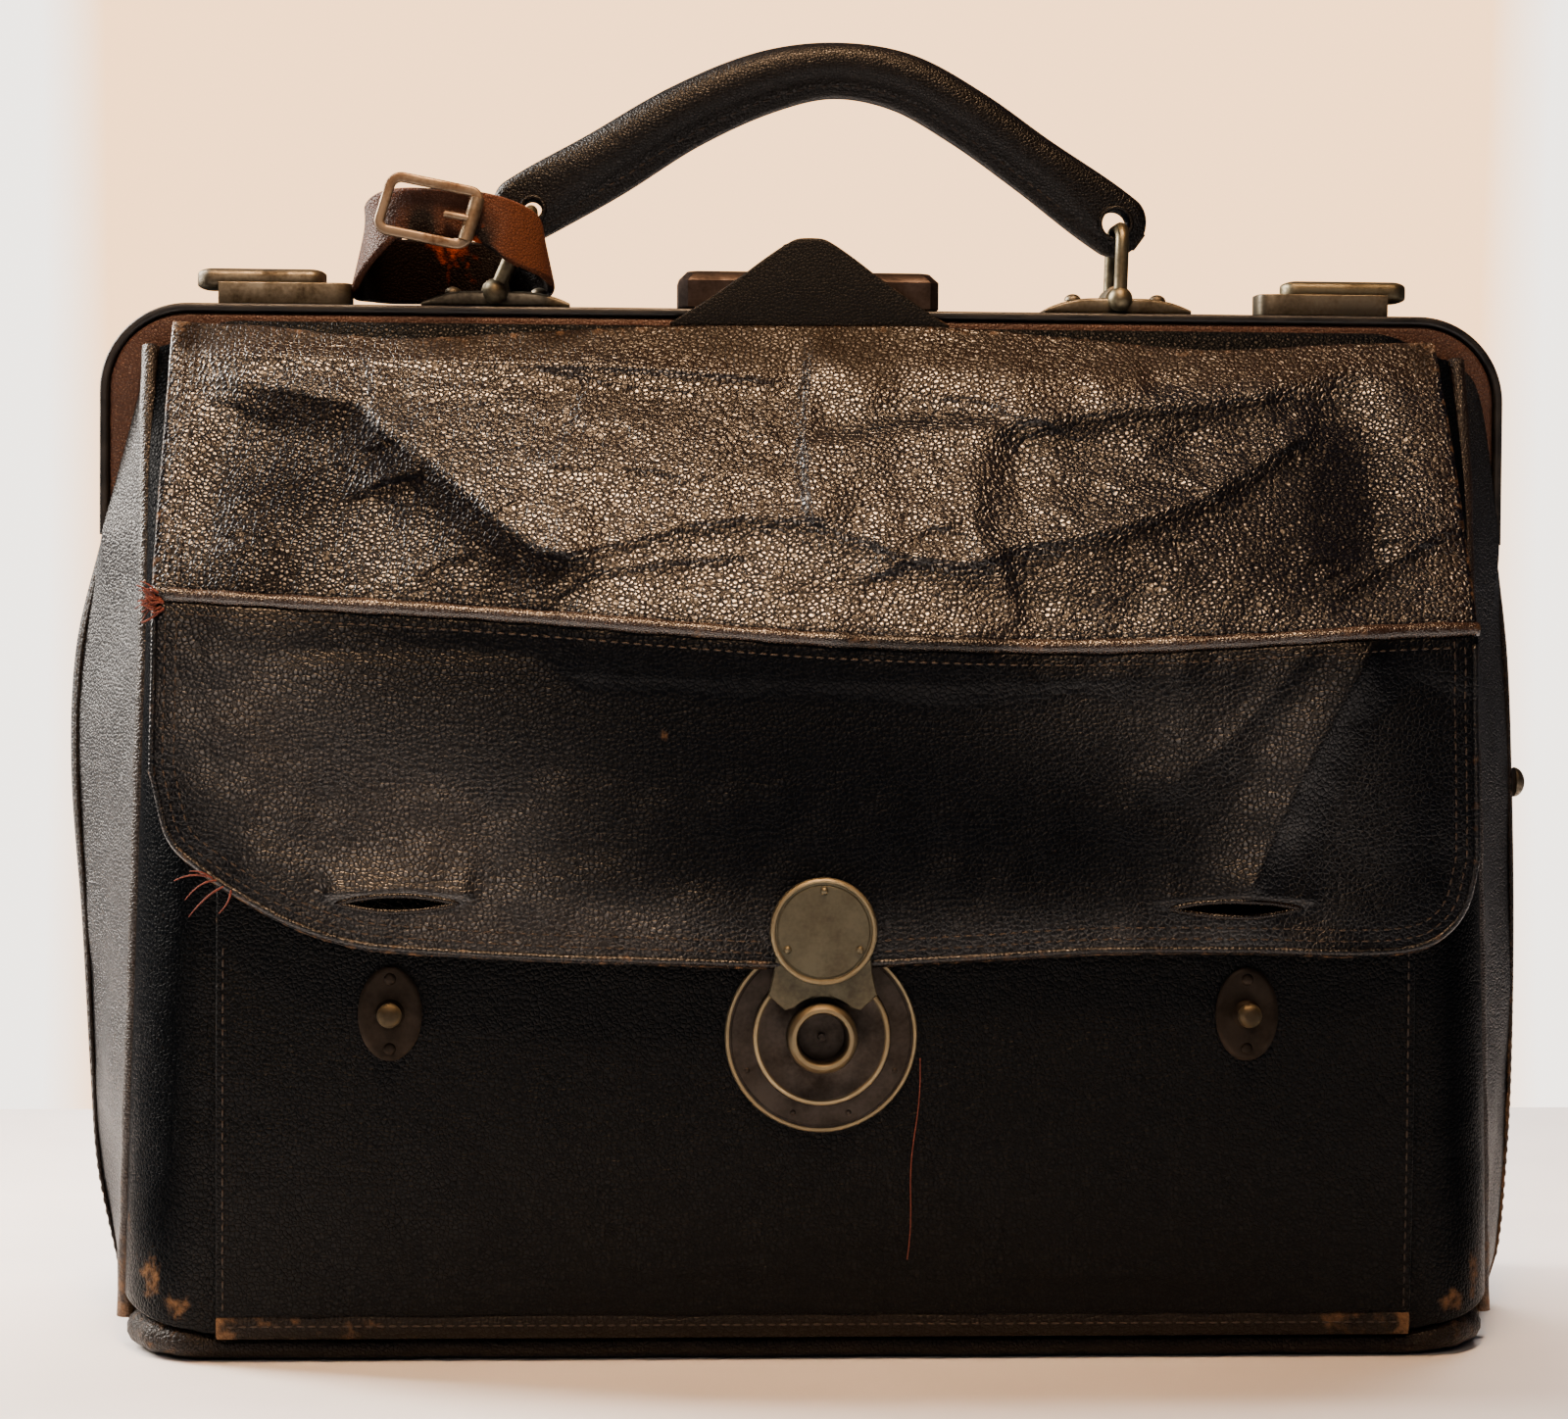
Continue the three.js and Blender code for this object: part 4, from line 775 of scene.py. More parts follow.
# Creases: the line; its rise and the reach of its upper and lower side; depth and place of the
# hollow below it. A line drawn from right to left has its hollow above.
CREASES = [
    ([(-176, 269), (-158, 267), (-140, 264.5), (-128, 262), (-114.5, 250), (-101, 240.5), (-89, 230),
      (-77, 221.5), (-56, 217)], 2.6, 26, 14, 2.6, 26),
    ([(-80, 218), (-66, 220), (-53, 222.8), (-35, 227.8), (-17, 230.4), (4, 229)], 1.5, 18, 4, 0.6, 6),
    ([(-84, 244), (-47, 243.6), (-25.6, 241.3), (0, 236)], 0.6, 10, 2.2, 0.3, 4),
    ([(-62, 273), (-66.3, 256.9), (-74, 241)], 0.6, 10, 1.8, 0.3, 4),
    ([(-80, 273), (-57.8, 267.8), (-28, 265)], 0.5, 6, 1.8, 0.6, 3),
    ([(-124, 269), (-109, 264.7), (-84, 264.3)], 0.5, 6, 1.8, 0.5, 3),
    ([(-78, 204), (-61.4, 214.4), (-41.4, 216.9), (-14, 220)], 0.5, 4, 1.6, 0.4, 3),
    ([(1, 285), (-1.1, 268), (-2.9, 251), (-2.4, 227)], 1.4, 14, 2, 1.0, 4),
    ([(-126.5, 277), (-123.5, 266.5), (-122, 250)], 0.5, 8, 2, 0.5, 3),
    ([(58, 255.5), (36, 255), (24, 254), (15, 251.5), (-6, 250)], 1.3, 20, 3, 1.4, 6),
    ([(40, 255), (54, 257), (68.5, 259), (92, 262), (111, 263.3), (128, 266.6), (164, 278)],
     1.7, 14, 8, 2.0, 14),
    ([(-6, 231), (5.6, 225.7), (22, 219.9), (39.9, 217), (52, 220)], 1.7, 18, 4, 0.8, 6),
    ([(38, 221), (52, 221.5), (65.5, 223.7), (82.7, 227.4), (95.4, 232), (108, 236.2), (121, 243.8),
      (146, 259)], 1.7, 12, 6, 1.6, 12),
    ([(138, 208), (160.7, 219.6), (181, 231)], 0.8, 6, 3, 0.8, 5),
    ([(55, 200), (50.4, 211.5), (49, 223)], 1.0, 8, 2, 0.7, 4),
    ([(94, 264), (90, 284)], 0.8, 8, 3, 1.0, 5),
    ([(-179, 274), (-150, 274.5), (-120, 273.5), (-90, 273), (-60, 272.5), (-20, 270), (2, 268)],
     1.9, 9, 2.4, 0.7, 4),
    ([(112, 121), (129, 157), (139, 175), (154, 201)], 3.0, 15, 8, 2.0, 14),
    ([(88, 151), (113.4, 172.2), (138, 199)], 0.5, 12, 6, 0.4, 8),
    ([(-136, 127), (-114, 128.5), (-92, 127)], 1.6, 9, 1.8, 0.2, 3),
    ([(88, 126), (112, 127.5), (136, 126)], 1.4, 8, 1.8, 0.2, 3),
    ([(-150, 196), (-60, 186), (30, 184), (110, 187)], 0.5, 12, 8, 0.8, 14),
]
# Fine creases of old leather, strewn over the upper half: 10 to 26 mm long, on slight slopes
dice = np.random.default_rng(11)
for x0, z0, half, tip, rise in dice.uniform((-168, 212, 5, -0.5, 0.3), (168, 268, 13, 0.5, 0.6), (40, 5)):
    ends = [(x0 - half, z0 - half * tip), (x0, z0 + 0.15 * half), (x0 + half, z0 + half * tip)]
    CREASES.append((ends, rise, 4, 1.3, 0.3, 2))


def fold_rise(x, z):
    """All swells and creases added up. The leather stands out along the bead and lies back
    below it; over the top 13 mm, where the frame holds it, the folds die out. Hollows are
    eased so that none goes deeper than the room behind the flap."""
    broad = sum(
        rise * hump(off_line(x, z, [(x0, z0), (x1, z1)])[0] / width)
        for x0, z0, x1, z1, rise, width in SWELLS
    )
    sharp = sum(crease(x, z, *row) for row in CREASES)
    drop = z - flap_bead(x)
    stands = 1.7 + 0.9 * smooth((x + 110) / 40) - 1.0 * smooth((x - 40) / 30)
    ledge = stands * hump(drop / np.where(drop > 0, 9, 15))
    uneven = ripple(x, z, 0.4, 5) + ripple(2.4 * x, 2.4 * z, 0.2, 6)
    total = broad + sharp + ledge + uneven
    half = 0.5 * (1.2 + 1.8 * smooth((z - 188) / 12))
    eased = np.where(total < -half, -half + half * np.tanh((total + half) / half), total)
    return eased * smooth((flap_top(x) - z) / 13)


def flap_point(x, z):
    """The front wall's face, moved out by the standoff and the folds, drawn back a tenth of the
    corner's depth at the side edges, and curled back over its top 9 mm."""
    droop = 0.1 * (face(z) - seam_y(z)) * np.maximum(0, (np.abs(x) - 150) / 31) ** 2
    curl = 1.3 * np.clip((z - flap_top(x) + 9) / 9, 0, 1) ** 2
    return point(x, -face(z) - standoff(z) - fold_rise(x, z) + droop + curl, z)


# %% Upper and lower flap, and the bead between them
BEAD_RADIUS = 1.9
x, up = np.meshgrid(np.linspace(FLAP_LEFT, FLAP_RIGHT, 340), np.linspace(0, 1, 116), indexing="ij")
low, high = flap_bead(x) + BEAD_RADIUS + GAP, flap_top(x)
z = low + (high - low) * up
to_side = np.minimum(x - FLAP_LEFT, FLAP_RIGHT - x)
# Painted shade below creases, laid on as darker, duller hide: which crease, how far below it, how strong, and
# from which place on
SHADE_BELOW_CREASES = [
    (0, 34, 0.95, -200), (1, 7, 0.6, -60), (10, 17, 0.75, 30),
    (11, 7, 0.6, -10), (12, 26, 0.75, 50), (9, 7, 0.5, -10),
]
# Painted shade away from creases, laid on the same way: middle, half width, half height and strength
SHADE_PLACES = [
    (149, 244, 13, 30, 0.45), (-142, 236, 44, 26, 0.8), (120, 212, 45, 18, 0.5), (138, 238, 34, 26, 0.5),
    (95, 262, 30, 9, 0.3), (-155, 211, 35, 9, 0.45), (60, 214, 26, 12, 0.3), (85, 240, 24, 16, 0.35),
]
dry_and_painted_shade = patches(x, z, SHADE_PLACES)
for number, below, strength, start in SHADE_BELOW_CREASES:
    gap, side, run = off_line(x, z, CREASES[number][0])
    ends = smooth(run / 0.2) * smooth((1 - run) / 0.2 + 0.3) * smooth((x - start) / 40)
    fade = smooth(gap / 3) * np.exp(-((gap / below) ** 1.3)) * (side < 0)
    dry_and_painted_shade = np.maximum(dry_and_painted_shade, strength * ends * fade)
# The band below the frame is handled brown and dull, down to an uneven line
band_foot = 275 - 4 * smooth((x + 60) / 60) - 7 * smooth((x - 2) / 12) + 6 * smooth((x - 70) / 60)
band_foot = band_foot + 1.8 * np.sin(x / 13) + 1.2 * np.sin(x / 5 + 1)
brown = 0.9 + 0.2 * np.sin(x / 9) * np.sin(x / 23 + 1) - 0.2 * smooth((x - 2) / 12)
dull = smooth((z - band_foot) / 12 + 0.5) * brown
# Outside the band the painted shade lowers the rub tone, which darkens the hide and dulls its glaze
rub_and_painted_light = 0.3 + dull + 0.6 * np.exp(-to_side / 5) - 1.25 * dry_and_painted_shade * (1 - dull) - 1.5 * np.exp(-to_side / 1.2)
wear = 0.42 * np.exp(-to_side / 2.5) + 0.3 * smooth((z - high + 5) / 4)
upper = piece("flap_upper", hide(flap_point(x, z), SOFT, wear, rub_and_painted_light), flap_hide, "flap_upper")

low, high = flap_bottom(x), flap_bead(x) - BEAD_RADIUS - GAP
z = low + (high - low) * up
to_edge = np.minimum(to_side, z - low)
# Painted sheen on the lower half, which is otherwise kept dark and dull as painted shade: middle, half width,
# half height and strength
PAINTED_SHEEN_PLACES = [
    (-112, 138, 38, 18, 1.0), (-66, 117, 52, 9, 1.0), (-158, 180, 26, 24, 0.7), (-125, 162, 50, 22, 0.6),
    (100, 176, 45, 18, 0.5), (75, 114, 55, 9, 0.6), (130, 145, 30, 30, 0.45),
]
NICK = (-42.8, 169.6, 0.9, 2.2, 0.85)
painted_sheen = patches(x, z, PAINTED_SHEEN_PLACES)
# The rub tone starts at -0.68, painted shade over the lower half, and rises where the painted sheen lies; it
# is raised near the edge and lowered at the very rim
rub_and_painted_light = -0.68 + np.minimum(painted_sheen, 1.0) + 0.3 * np.exp(-to_edge / 9) - 0.8 * np.exp(-to_edge / 1.2)
wear = 0.36 * np.exp(-to_edge / 2) + patches(x, z, [NICK])
lower = piece("flap_lower", hide(flap_point(x, z), SOFT, wear, rub_and_painted_light), hung_hide, "flap_lower")

x = np.linspace(FLAP_LEFT - 0.5, FLAP_RIGHT + 0.5, 300)
line = flap_point(x, flap_bead(x)) + [0, 0.6, 0]
lump = 1.12 * BEAD_RADIUS * (1 + 0.06 * np.sin(x / 2.9) + 0.05 * np.sin(x / 11))
roll = carry(line, lump[:, None, None] * circle(12), (0, 0, 1))
along = roll[0][:, 0]
dry_and_painted_shade = smooth(np.sin(along / 17) + np.sin(along / 41 + 1) - 0.5)
piece("flap_bead", toned(roll, 0.25 + 0.1 * np.sin(along / 7), 0.55 - 0.9 * dry_and_painted_shade), bead_hide, "flap_bead")


def flap_edge(inset):
    """Line round the lower half, drawn in by the inset: down the left side, along the bottom and up
    the right, at every 1.5 mm, moved inwards square to itself."""
    x = np.linspace(FLAP_LEFT, FLAP_RIGHT, 900)
    left, right = ((x0, flap_bead(x0) - 4) for x0 in (FLAP_LEFT, FLAP_RIGHT))
    line = np.array([left, *zip(x, flap_bottom(x)), right], float)
    run = run_along(line)
    at = np.arange(0, run[-1], 1.5)
    line = np.stack([np.interp(at, run, line[:, i]) for i in (0, 1)], -1)
    window = np.hanning(15) / np.hanning(15).sum()
    padded = [np.pad(a, 7, "edge") for a in np.gradient(line, axis=0).T]
    ahead = unit(np.stack([np.convolve(a, window, "valid") for a in padded], -1))
    return line + inset * point(-ahead[:, 1], ahead[:, 0])


line = flap_edge(0.7)
rolled = carry(flap_point(*line.T) + [0, 0.35, 0], 0.95 * circle(10), (0, 1, 0))
piece("flap_rolled_edge", toned(rolled, 0.3, -0.2), hung_hide)

# %% [markdown]
# Two slots near the bottom edge once took turn knobs. Each is a lens cut right through the
# leather, bound by a thin turned lip. The cut is a boolean with a lens-shaped block, because a
# hole can't be part of a plain grid.

# %% Slots and their lips
def lens_outline(x, z, length, height):
    """Two shallow arcs between the ends of the slot."""
    t = np.linspace(-1, 1, 30)
    arc = 0.5 * height * (1 - t * t)
    lower, upper = point(x + 0.5 * length * t, z - arc), point(x - 0.5 * length * t, z + arc)
    return np.vstack([lower, upper[1:-1]])


def bore(target, *cutters):
    """Cuts the cutters out of the target and keeps the result as its mesh."""
    for cutter in cutters:
        cut = target.modifiers.new("bore", "BOOLEAN")
        cut.object = cutter
        cut.solver = "EXACT"
    held = target.evaluated_get(bpy.context.evaluated_depsgraph_get())
    mesh = bpy.data.meshes.new_from_object(held)
    target.modifiers.clear()
    target.data = mesh
    for cutter in cutters:
        bpy.data.objects.remove(cutter)


def cutter(part):
    """Bare closed mesh for a cut."""
    points, faces, _ = part
    work = bmesh.new()
    corners = [work.verts.new(p) for p in (points * MM).tolist()]
    for row in faces.tolist():
        if len(set(row)) == 4:
            work.faces.new([corners[i] for i in row])
    bmesh.ops.remove_doubles(work, verts=work.verts, dist=1e-7)
    bmesh.ops.recalc_face_normals(work, faces=work.faces)
    mesh = bpy.data.meshes.new("cutter")
    work.to_mesh(mesh)
    work.free()
    made = bpy.data.objects.new("cutter", mesh)
    bpy.context.collection.objects.link(made)
    return made


SLOTS = {"left": (-114, 125, 31, 3), "right": (112, 124, 35, 3)}
blocks = [
    stack(lens_outline(*size), [(0, -110), (0, -72)], lambda a, b, h: (a, h, b)) for size in SLOTS.values()
]
bore(lower, *[cutter(block) for block in blocks])
for name, (x0, z0, length, tall) in SLOTS.items():
    ring = lens_outline(x0, z0, length + 1.2, tall + 1.4)
    line = flap_point(ring[:, 0], ring[:, 1]) + [0, 0.1, 0]
    lip = carry(line, 0.8 * circle(10), (0, 1, 0), loop=True)
    piece(f"slot_lip_{name}", toned(lip, 0.2, -0.45), bead_hide)

# %% [markdown]
# ## Mouth frame
# Two steel half frames, covered in red-brown calf, close against each other behind the flap's top.
# Black rails run along their outer edge. Both are a rounded bar carried along an arch.

# %% Frame and rails
FRAME_HALF, FRAME_TOP, FRAME_BEND, LEG_FOOT = 202, 290, 25, 224
RAIL, FACING, DEPTH, PROUD = 2.5, 14, 12, 0.5


def arch(inset):
    """Leg, quarter circle, top, quarter circle and leg, drawn in from the outer edge."""
    half, top, bend = FRAME_HALF - inset, FRAME_TOP - inset, max(FRAME_BEND - inset, 0.5)
    turn = np.linspace(0, np.pi / 2, 28)
    leg = point(half, np.linspace(LEG_FOOT, top - bend, 16))[:-1]
    corner = point(half - bend + bend * np.cos(turn), top - bend + bend * np.sin(turn))
    top_run = point(np.linspace(half - bend, 0, 50)[1:], top)
    side = np.vstack([leg, corner, top_run])
    flat = np.vstack([side, side[-2::-1] * [-1, 1]])
    return point(flat[:, 0], 0, flat[:, 1])


def bar(wide, high, bend, steps=5):
    """Rectangle with rounded corners, about its middle."""
    turn = np.linspace(0, np.pi / 2, steps)
    corner = bend * point(np.cos(turn), np.sin(turn)) + [0.5 * wide - bend, 0.5 * high - bend]
    flipped = corner[::-1] * [-1, 1]
    return np.vstack([corner, flipped, -corner, -flipped])


for side, label in ((-1, "front"), (1, "back")):
    rail_depth, cover_depth = DEPTH + PROUD - GAP, DEPTH - GAP
    rail_line = arch(0.5 * RAIL) + [0, side * (GAP + 0.5 * rail_depth), 0]
    rail = carry(rail_line, bar(rail_depth, RAIL, 0.9), (0, 1, 0))
    piece(f"rail_{label}", rail, japan, f"rail_{label}", crease=50)
    cover_line = arch(RAIL + GAP + 0.5 * FACING) + [0, side * (GAP + 0.5 * cover_depth), 0]
    cover = carry(cover_line, bar(cover_depth, FACING, 1.4), (0, 1, 0))
    scraped = 0.12 + 0.2 * np.sin(cover[0][:, 0] / 17) * np.sin(cover[0][:, 0] / 5.3 + 1)
    piece(f"frame_{label}", toned(cover, scraped, 0.5), frame_hide, f"frame_{label}", crease=50)

# %% [markdown]
# ## Fittings on the frame
# The middle carries the lock case with a leather peak before it, and each end has a sliding
# catch: a low channel with a pill-shaped cap that moves along it.

# %% Lock case, knob and leather peak
CASE_LONG, CASE_DEEP, CASE_HIGH = 75, 22, 10.7
case_foot = FRAME_TOP + GAP
case = stack(
    lambda inset: bar(CASE_LONG - 2 * inset, CASE_DEEP - 2 * inset, 2.6, 2),
    [(0.3, 0), (0, 0.3), (0, 7.9), (0.2, 8.2), (2.4, 10.5), (2.8, CASE_HIGH), (6, CASE_HIGH)],
    lambda a, b, h: (a, b, case_foot + h),
)
piece("lock_case", case, steel, "lock_case", crease=28)
knob = stack(
    bar(15.6, 8, 1.5), [(0.8, -6), (0, -5.2), (0, 5.2), (0.8, 6)],
    lambda a, b, h: (a, h, case_foot + CASE_HIGH + GAP + 4 + b),
)
piece("lock_knob", knob, steel, "lock_knob", crease=35)

PEAK_HALF, PEAK_FOOT, PEAK_RISE, PEAK_Y = 39.5, 284.9, 24.3, -14.85
x, up = np.meshgrid(np.linspace(-PEAK_HALF, PEAK_HALF, 90), np.linspace(0, 1, 34), indexing="ij")
peak_high = curve([0, 0.1, 0.2, 0.35, 0.5, 0.75, 1], [1, 0.985, 0.9, 0.73, 0.545, 0.26, 0])
bell = peak_high(np.abs(x) / PEAK_HALF)
z = PEAK_FOOT + up * (0.6 + PEAK_RISE * bell)
lean = -0.5 * np.sin(np.pi * up) * bell + 0.25 * ripple(x, z, 1, 31) * bell
peak = point(x, PEAK_Y + np.maximum(lean, -0.9), z)
piece("pull_tab", hide(peak, SOFT, 0.12 * (up > 0.94), 0.15, 0.3), tab_hide, "pull_tab")

# %% Sliding catches
BASE_IN, BASE_OUT, BASE_HALF = 131, 169, 7
CHANNEL_HIGH, CHANNEL_WALL = 6.2, 1.1
CAP_IN, CAP_OUT, CAP_ROUND = 138.6, 175.5, 4.5
CAP_HALF, CAP_Z, CAP_RISE = 5.5, 297.55, 3.15


def channel(inset):
    """Sides of the channel with a rounded inner end, from one mouth corner to the other."""
    half, start = BASE_HALF - inset, BASE_IN + inset
    t = np.linspace(-1, 1, 31)
    end = point(start + 4 * (1 - np.sqrt(np.maximum(0, 1 - t**4))), half * t)
    run = np.linspace(BASE_OUT, start + 4, 14)[:-1]
    return np.vstack([point(run, -half), end, point(run[::-1], half)])


def cap():
    """Pill with a crowned top: rings of a squarish oval, 11 mm wide, along 37 mm, rounded off
    over the last 4.5 mm at both ends."""
    share = 0.5 * (1 - np.cos(np.linspace(0.06, np.pi - 0.06, 48)))
    x = CAP_IN + (CAP_OUT - CAP_IN) * share
    to_end = np.minimum(x - CAP_IN, CAP_OUT - x)
    full = np.sqrt(1 - np.clip(1 - to_end / CAP_ROUND, 0, 1) ** 2)
    turn = np.linspace(0, 2 * np.pi, 32, endpoint=False)
    wide = np.sign(np.cos(turn)) * np.abs(np.cos(turn)) ** 0.55
    tall = np.sign(np.sin(turn)) * np.abs(np.sin(turn)) ** 0.75
    y = CAP_HALF * full[:, None] * wide
    z = CAP_Z + CAP_RISE * (0.45 + 0.55 * full[:, None]) * tall
    return tube(point(x[:, None], y, z))


for side, label, look in ((-1, "left", nickel), (1, "right", brass)):
    turned_round = np.array([side, side, 1])
    wall_line = point(*channel(0.5 * CHANNEL_WALL).T, case_foot + 0.5 * CHANNEL_HIGH)
    walls = carry(wall_line, bar(CHANNEL_HIGH, CHANNEL_WALL, 0.4, 4), (0, 0, 1))
    floor_plate = stack(
        channel(0.4), [(0, 0.05), (0, 1.3), (0.3, 1.5)], lambda a, b, h: (a, b, case_foot + h)
    )
    points, faces, tone = joined(walls, floor_plate)
    piece(f"catch_base_{label}", (points * turned_round, faces, tone), nickel,
          f"catch_base_{label}", crease=40)
    points, faces, tone = cap()
    piece(f"catch_slide_{label}", (points * turned_round, faces, tone), look, f"catch_slide_{label}",
          body=f"catch_{label}", crease=60)

# %% [markdown]
# The handle hangs from two wire shackles. Each is pinned in a riveted plate, with a ball at the
# end of the pin. Balls, rivets and bosses are profiles turned about an axis.

# %% Turned pieces
def turn(profile, centre, axis, steps):
    """A profile of (radius, height) rows turned about an axis through the centre. A third column,
    where there is one, is how far each row is worn."""
    axis = unit(np.array(axis, float))
    one = unit(np.cross(axis, [0.31, 0.87, 0.38]))
    two = np.cross(axis, one)
    ring = circle(steps)
    spoke = ring[:, :1] * one + ring[:, 1:] * two
    rows = np.array(profile, float)
    skin = tube(np.asarray(centre, float) + rows[:, 1, None, None] * axis + rows[:, 0, None, None] * spoke)
    if rows.shape[1] == 2:
        return skin
    worn = np.concatenate([rows[:1, 2], rows[:, 2], rows[-1:, 2]])
    return toned(skin, np.repeat(worn, steps))


def dome(radius, height, steps=8):
    """Quarter ellipse from the rim to the top, on a flat foot."""
    bend = np.linspace(0, np.pi / 2 - 0.04, steps)
    return point(radius * np.cos(bend), height * np.sin(bend))


def ball(radius):
    """Half circle from pole to pole."""
    bend = np.linspace(-np.pi / 2 + 0.04, np.pi / 2 - 0.04, 14)
    return radius * point(np.cos(bend), np.sin(bend))


# %% Ring plates and shackles
PLATE_X, PLATE_HALF, PIVOT_Z = 90, 21.35, 294.2
SHACKLE_HALF, WIRE_BEND = 10.5, 5
# The plate's height falls along a parabola from the middle to the end
bezier = np.linspace(0, 1, 60)
plate_share = 0.3 * (1 - bezier) ** 2 + 1.4 * bezier * (1 - bezier) + bezier**2
plate_high = 4.4 * (1 - bezier) ** 2 + 8.8 * bezier * (1 - bezier) + bezier**2


def ring_plate(x0):
    """Low plate: a bar whose height falls from the middle to the ends, two rivets and a boss
    lying across it."""
    x = np.linspace(-PLATE_HALF, PLATE_HALF, 60)
    high = np.interp(np.abs(x) / PLATE_HALF, plate_share, plate_high)
    rows = np.stack([bar(13.8, h, min(0.9, 0.4 * h), 4) + [0, 0.5 * h] for h in high])
    grid = point(x0 + x[:, None], rows[..., 0], case_foot + rows[..., 1])
    rivets = [turn(dome(2.5, 1.9), (x0 + e * 12.4, 0, case_foot + 4.1), (0, 0, 1), 24) for e in (-1, 1)]
    boss = turn([(3.6, -6), (4.3, -5.4), (4.3, 5.4), (3.6, 6)], (x0, 0, PIVOT_Z), (0, 1, 0), 28)
    return joined(tube(grid), *rivets, boss)


def shackle(x0, top_x, top_z):
    """Round wire up one side, over in two quarter turns and down the other, leaning from its
    pin to the handle, with a ball on each foot."""
    lean = np.array([top_x - x0, 0, top_z - PIVOT_Z])
    stop = 1 - WIRE_BEND / np.linalg.norm(lean)
    bend = np.linspace(0, np.pi / 2, 14)
    leg = np.linspace(0, stop, 16)[:-1]
    share = np.concatenate([leg, stop + (1 - stop) * np.sin(bend)])
    straight = SHACKLE_HALF - WIRE_BEND
    y = np.concatenate([np.full(len(leg), -SHACKLE_HALF), -(straight + WIRE_BEND * np.cos(bend))])
    over = np.linspace(-straight, straight, 12)[1:-1]
    share = np.concatenate([share, np.ones(len(over)), share[::-1]])
    y = np.concatenate([y, over, -y[::-1]])
    line = np.array([x0, 0, PIVOT_Z]) + share[:, None] * lean + np.outer(y, [0, 1, 0])
    wire = carry(line, 2.0 * circle(14), (lean[2], 0, -lean[0]))
    balls = [turn(ball(3.6), (x0, e * SHACKLE_HALF, PIVOT_Z), (0, 1, 0), 24) for e in (-1, 1)]
    pin = turn([(1.5, -SHACKLE_HALF), (1.5, SHACKLE_HALF)], (x0, 0, PIVOT_Z), (0, 1, 0), 14)
    return joined(wire, *balls, pin)


SHACKLE_TOP = {"left": (-80, 317.6), "right": (90.6, 314.8)}
for side, label in SIDES:
    piece(f"ring_plate_{label}", ring_plate(side * PLATE_X), nickel, f"ring_plate_{label}", crease=40)
    wire = shackle(side * PLATE_X, *SHACKLE_TOP[label])
    piece(f"shackle_{label}", wire, brass, f"shackle_{label}", crease=60)

# %% [markdown]
# ## Handle
# The handle is a roll of leather over a core, with the two edges sewn together below it into a
# flat fin. One profile, round above and narrow below, is carried along the arch of the handle,
# flattened towards the ends where the shackles pass through.

# %% Handle
# Middle line of the handle, x and z, with its height and thickness
HANDLE = np.array([
    (-89.5, 314.2, 19, 9), (-77, 321.6, 20.2, 10.5), (-59, 331.8, 20, 13), (-36, 346, 19, 15),
    (-13, 356.2, 18, 16), (7, 360, 16.2, 16), (27, 357, 17, 16), (46, 347, 17.4, 15),
    (65, 333.9, 17.6, 13), (84, 320.6, 19.4, 10.5), (97, 311.4, 18.5, 9),
])
run = run_along(HANDLE[:, :2])
length = run[-1]
arc = [curve(run, HANDLE[:, i]) for i in range(4)]
END_ROUND = 8
round_end = END_ROUND * (1 - np.cos(np.linspace(0.05, np.pi / 2, 12)))
middle = np.linspace(END_ROUND, length - END_ROUND, 150)[1:-1]
stops = np.concatenate([round_end, middle, length - round_end[::-1]])
handle_line = point(arc[0](stops), 0, arc[1](stops))
# Half section from the top down: height and half width, as shares of the full height and thickness
ROLL = np.array([
    (0.5, 0), (0.487, 0.14), (0.44, 0.29), (0.36, 0.41), (0.24, 0.485),
    (0.12, 0.5), (0.0, 0.485), (-0.1, 0.44), (-0.18, 0.36), (-0.24, 0.28),
    (-0.3, 0.235), (-0.38, 0.22), (-0.45, 0.2), (-0.49, 0.12), (-0.5, 0),
])
section = np.vstack([ROLL, ROLL[-2:0:-1] * [1, -1]])
to_end = np.minimum(stops, length - stops)
full = np.sqrt(1 - np.clip(1 - to_end / END_ROUND, 0, 1) ** 2)
high, thick = arc[2](stops) * np.maximum(0.3, full), arc[3](stops) * np.maximum(0.55, full)
flat_end = smooth((34 - to_end) / 26)[:, None]
pressed = np.sign(section[:, 1]) * np.minimum(0.42, 1.3 * np.abs(section[:, 1]))
half_width = section[:, 1] * (1 - flat_end) + flat_end * pressed
rows = point(high[:, None] * section[:, 0], thick[:, None] * half_width)
forward = unit(np.gradient(handle_line, axis=0))
upward = point(-forward[:, 2], 0, forward[:, 0])
skin = carry(handle_line, rows, upward)
grip = hump((skin[0][:, 0] - 7) / 45)
handle = piece("handle", toned(skin, 0.06, 0.25 + 0.3 * grip), handle_hide, "handle")
EYES = {"left": (-79.6, 318.6, 3), "right": (89.4, 316.6, 4.2)}
holes = [turn([(r, -20), (r, 20)], (x, 0, z), (0, 1, 0), 28) for x, z, r in EYES.values()]
bore(handle, *[cutter(hole) for hole in holes])
for label, (x, z, r) in EYES.items():
    thickness = float(np.interp(x, HANDLE[:, 0], HANDLE[:, 3])) * 0.42 + 0.2
    ring = (r + 0.4) * circle(40)
    rims = []
    for y in (-thickness, thickness):
        line = point(x + ring[:, 0], y, z + ring[:, 1])
        rims.append(carry(line, 0.7 * circle(8), (0, 1, 0), loop=True))
    piece(f"handle_eye_{label}", toned(joined(*rims), 0.1, 0.5), handle_hide)
print("handle length along its middle, mm:", round(length, 1))

# %% [markdown]
# ## Buckled strap
# A short maroon strap is buckled round the left shackle. It is a flat band bent into a squarish
# loop, with its tongue lying over it through the buckle; the flesh side is orange suede.

# %% Strap and tongue
STRAP_MID = np.array([-102.0, -0.5])
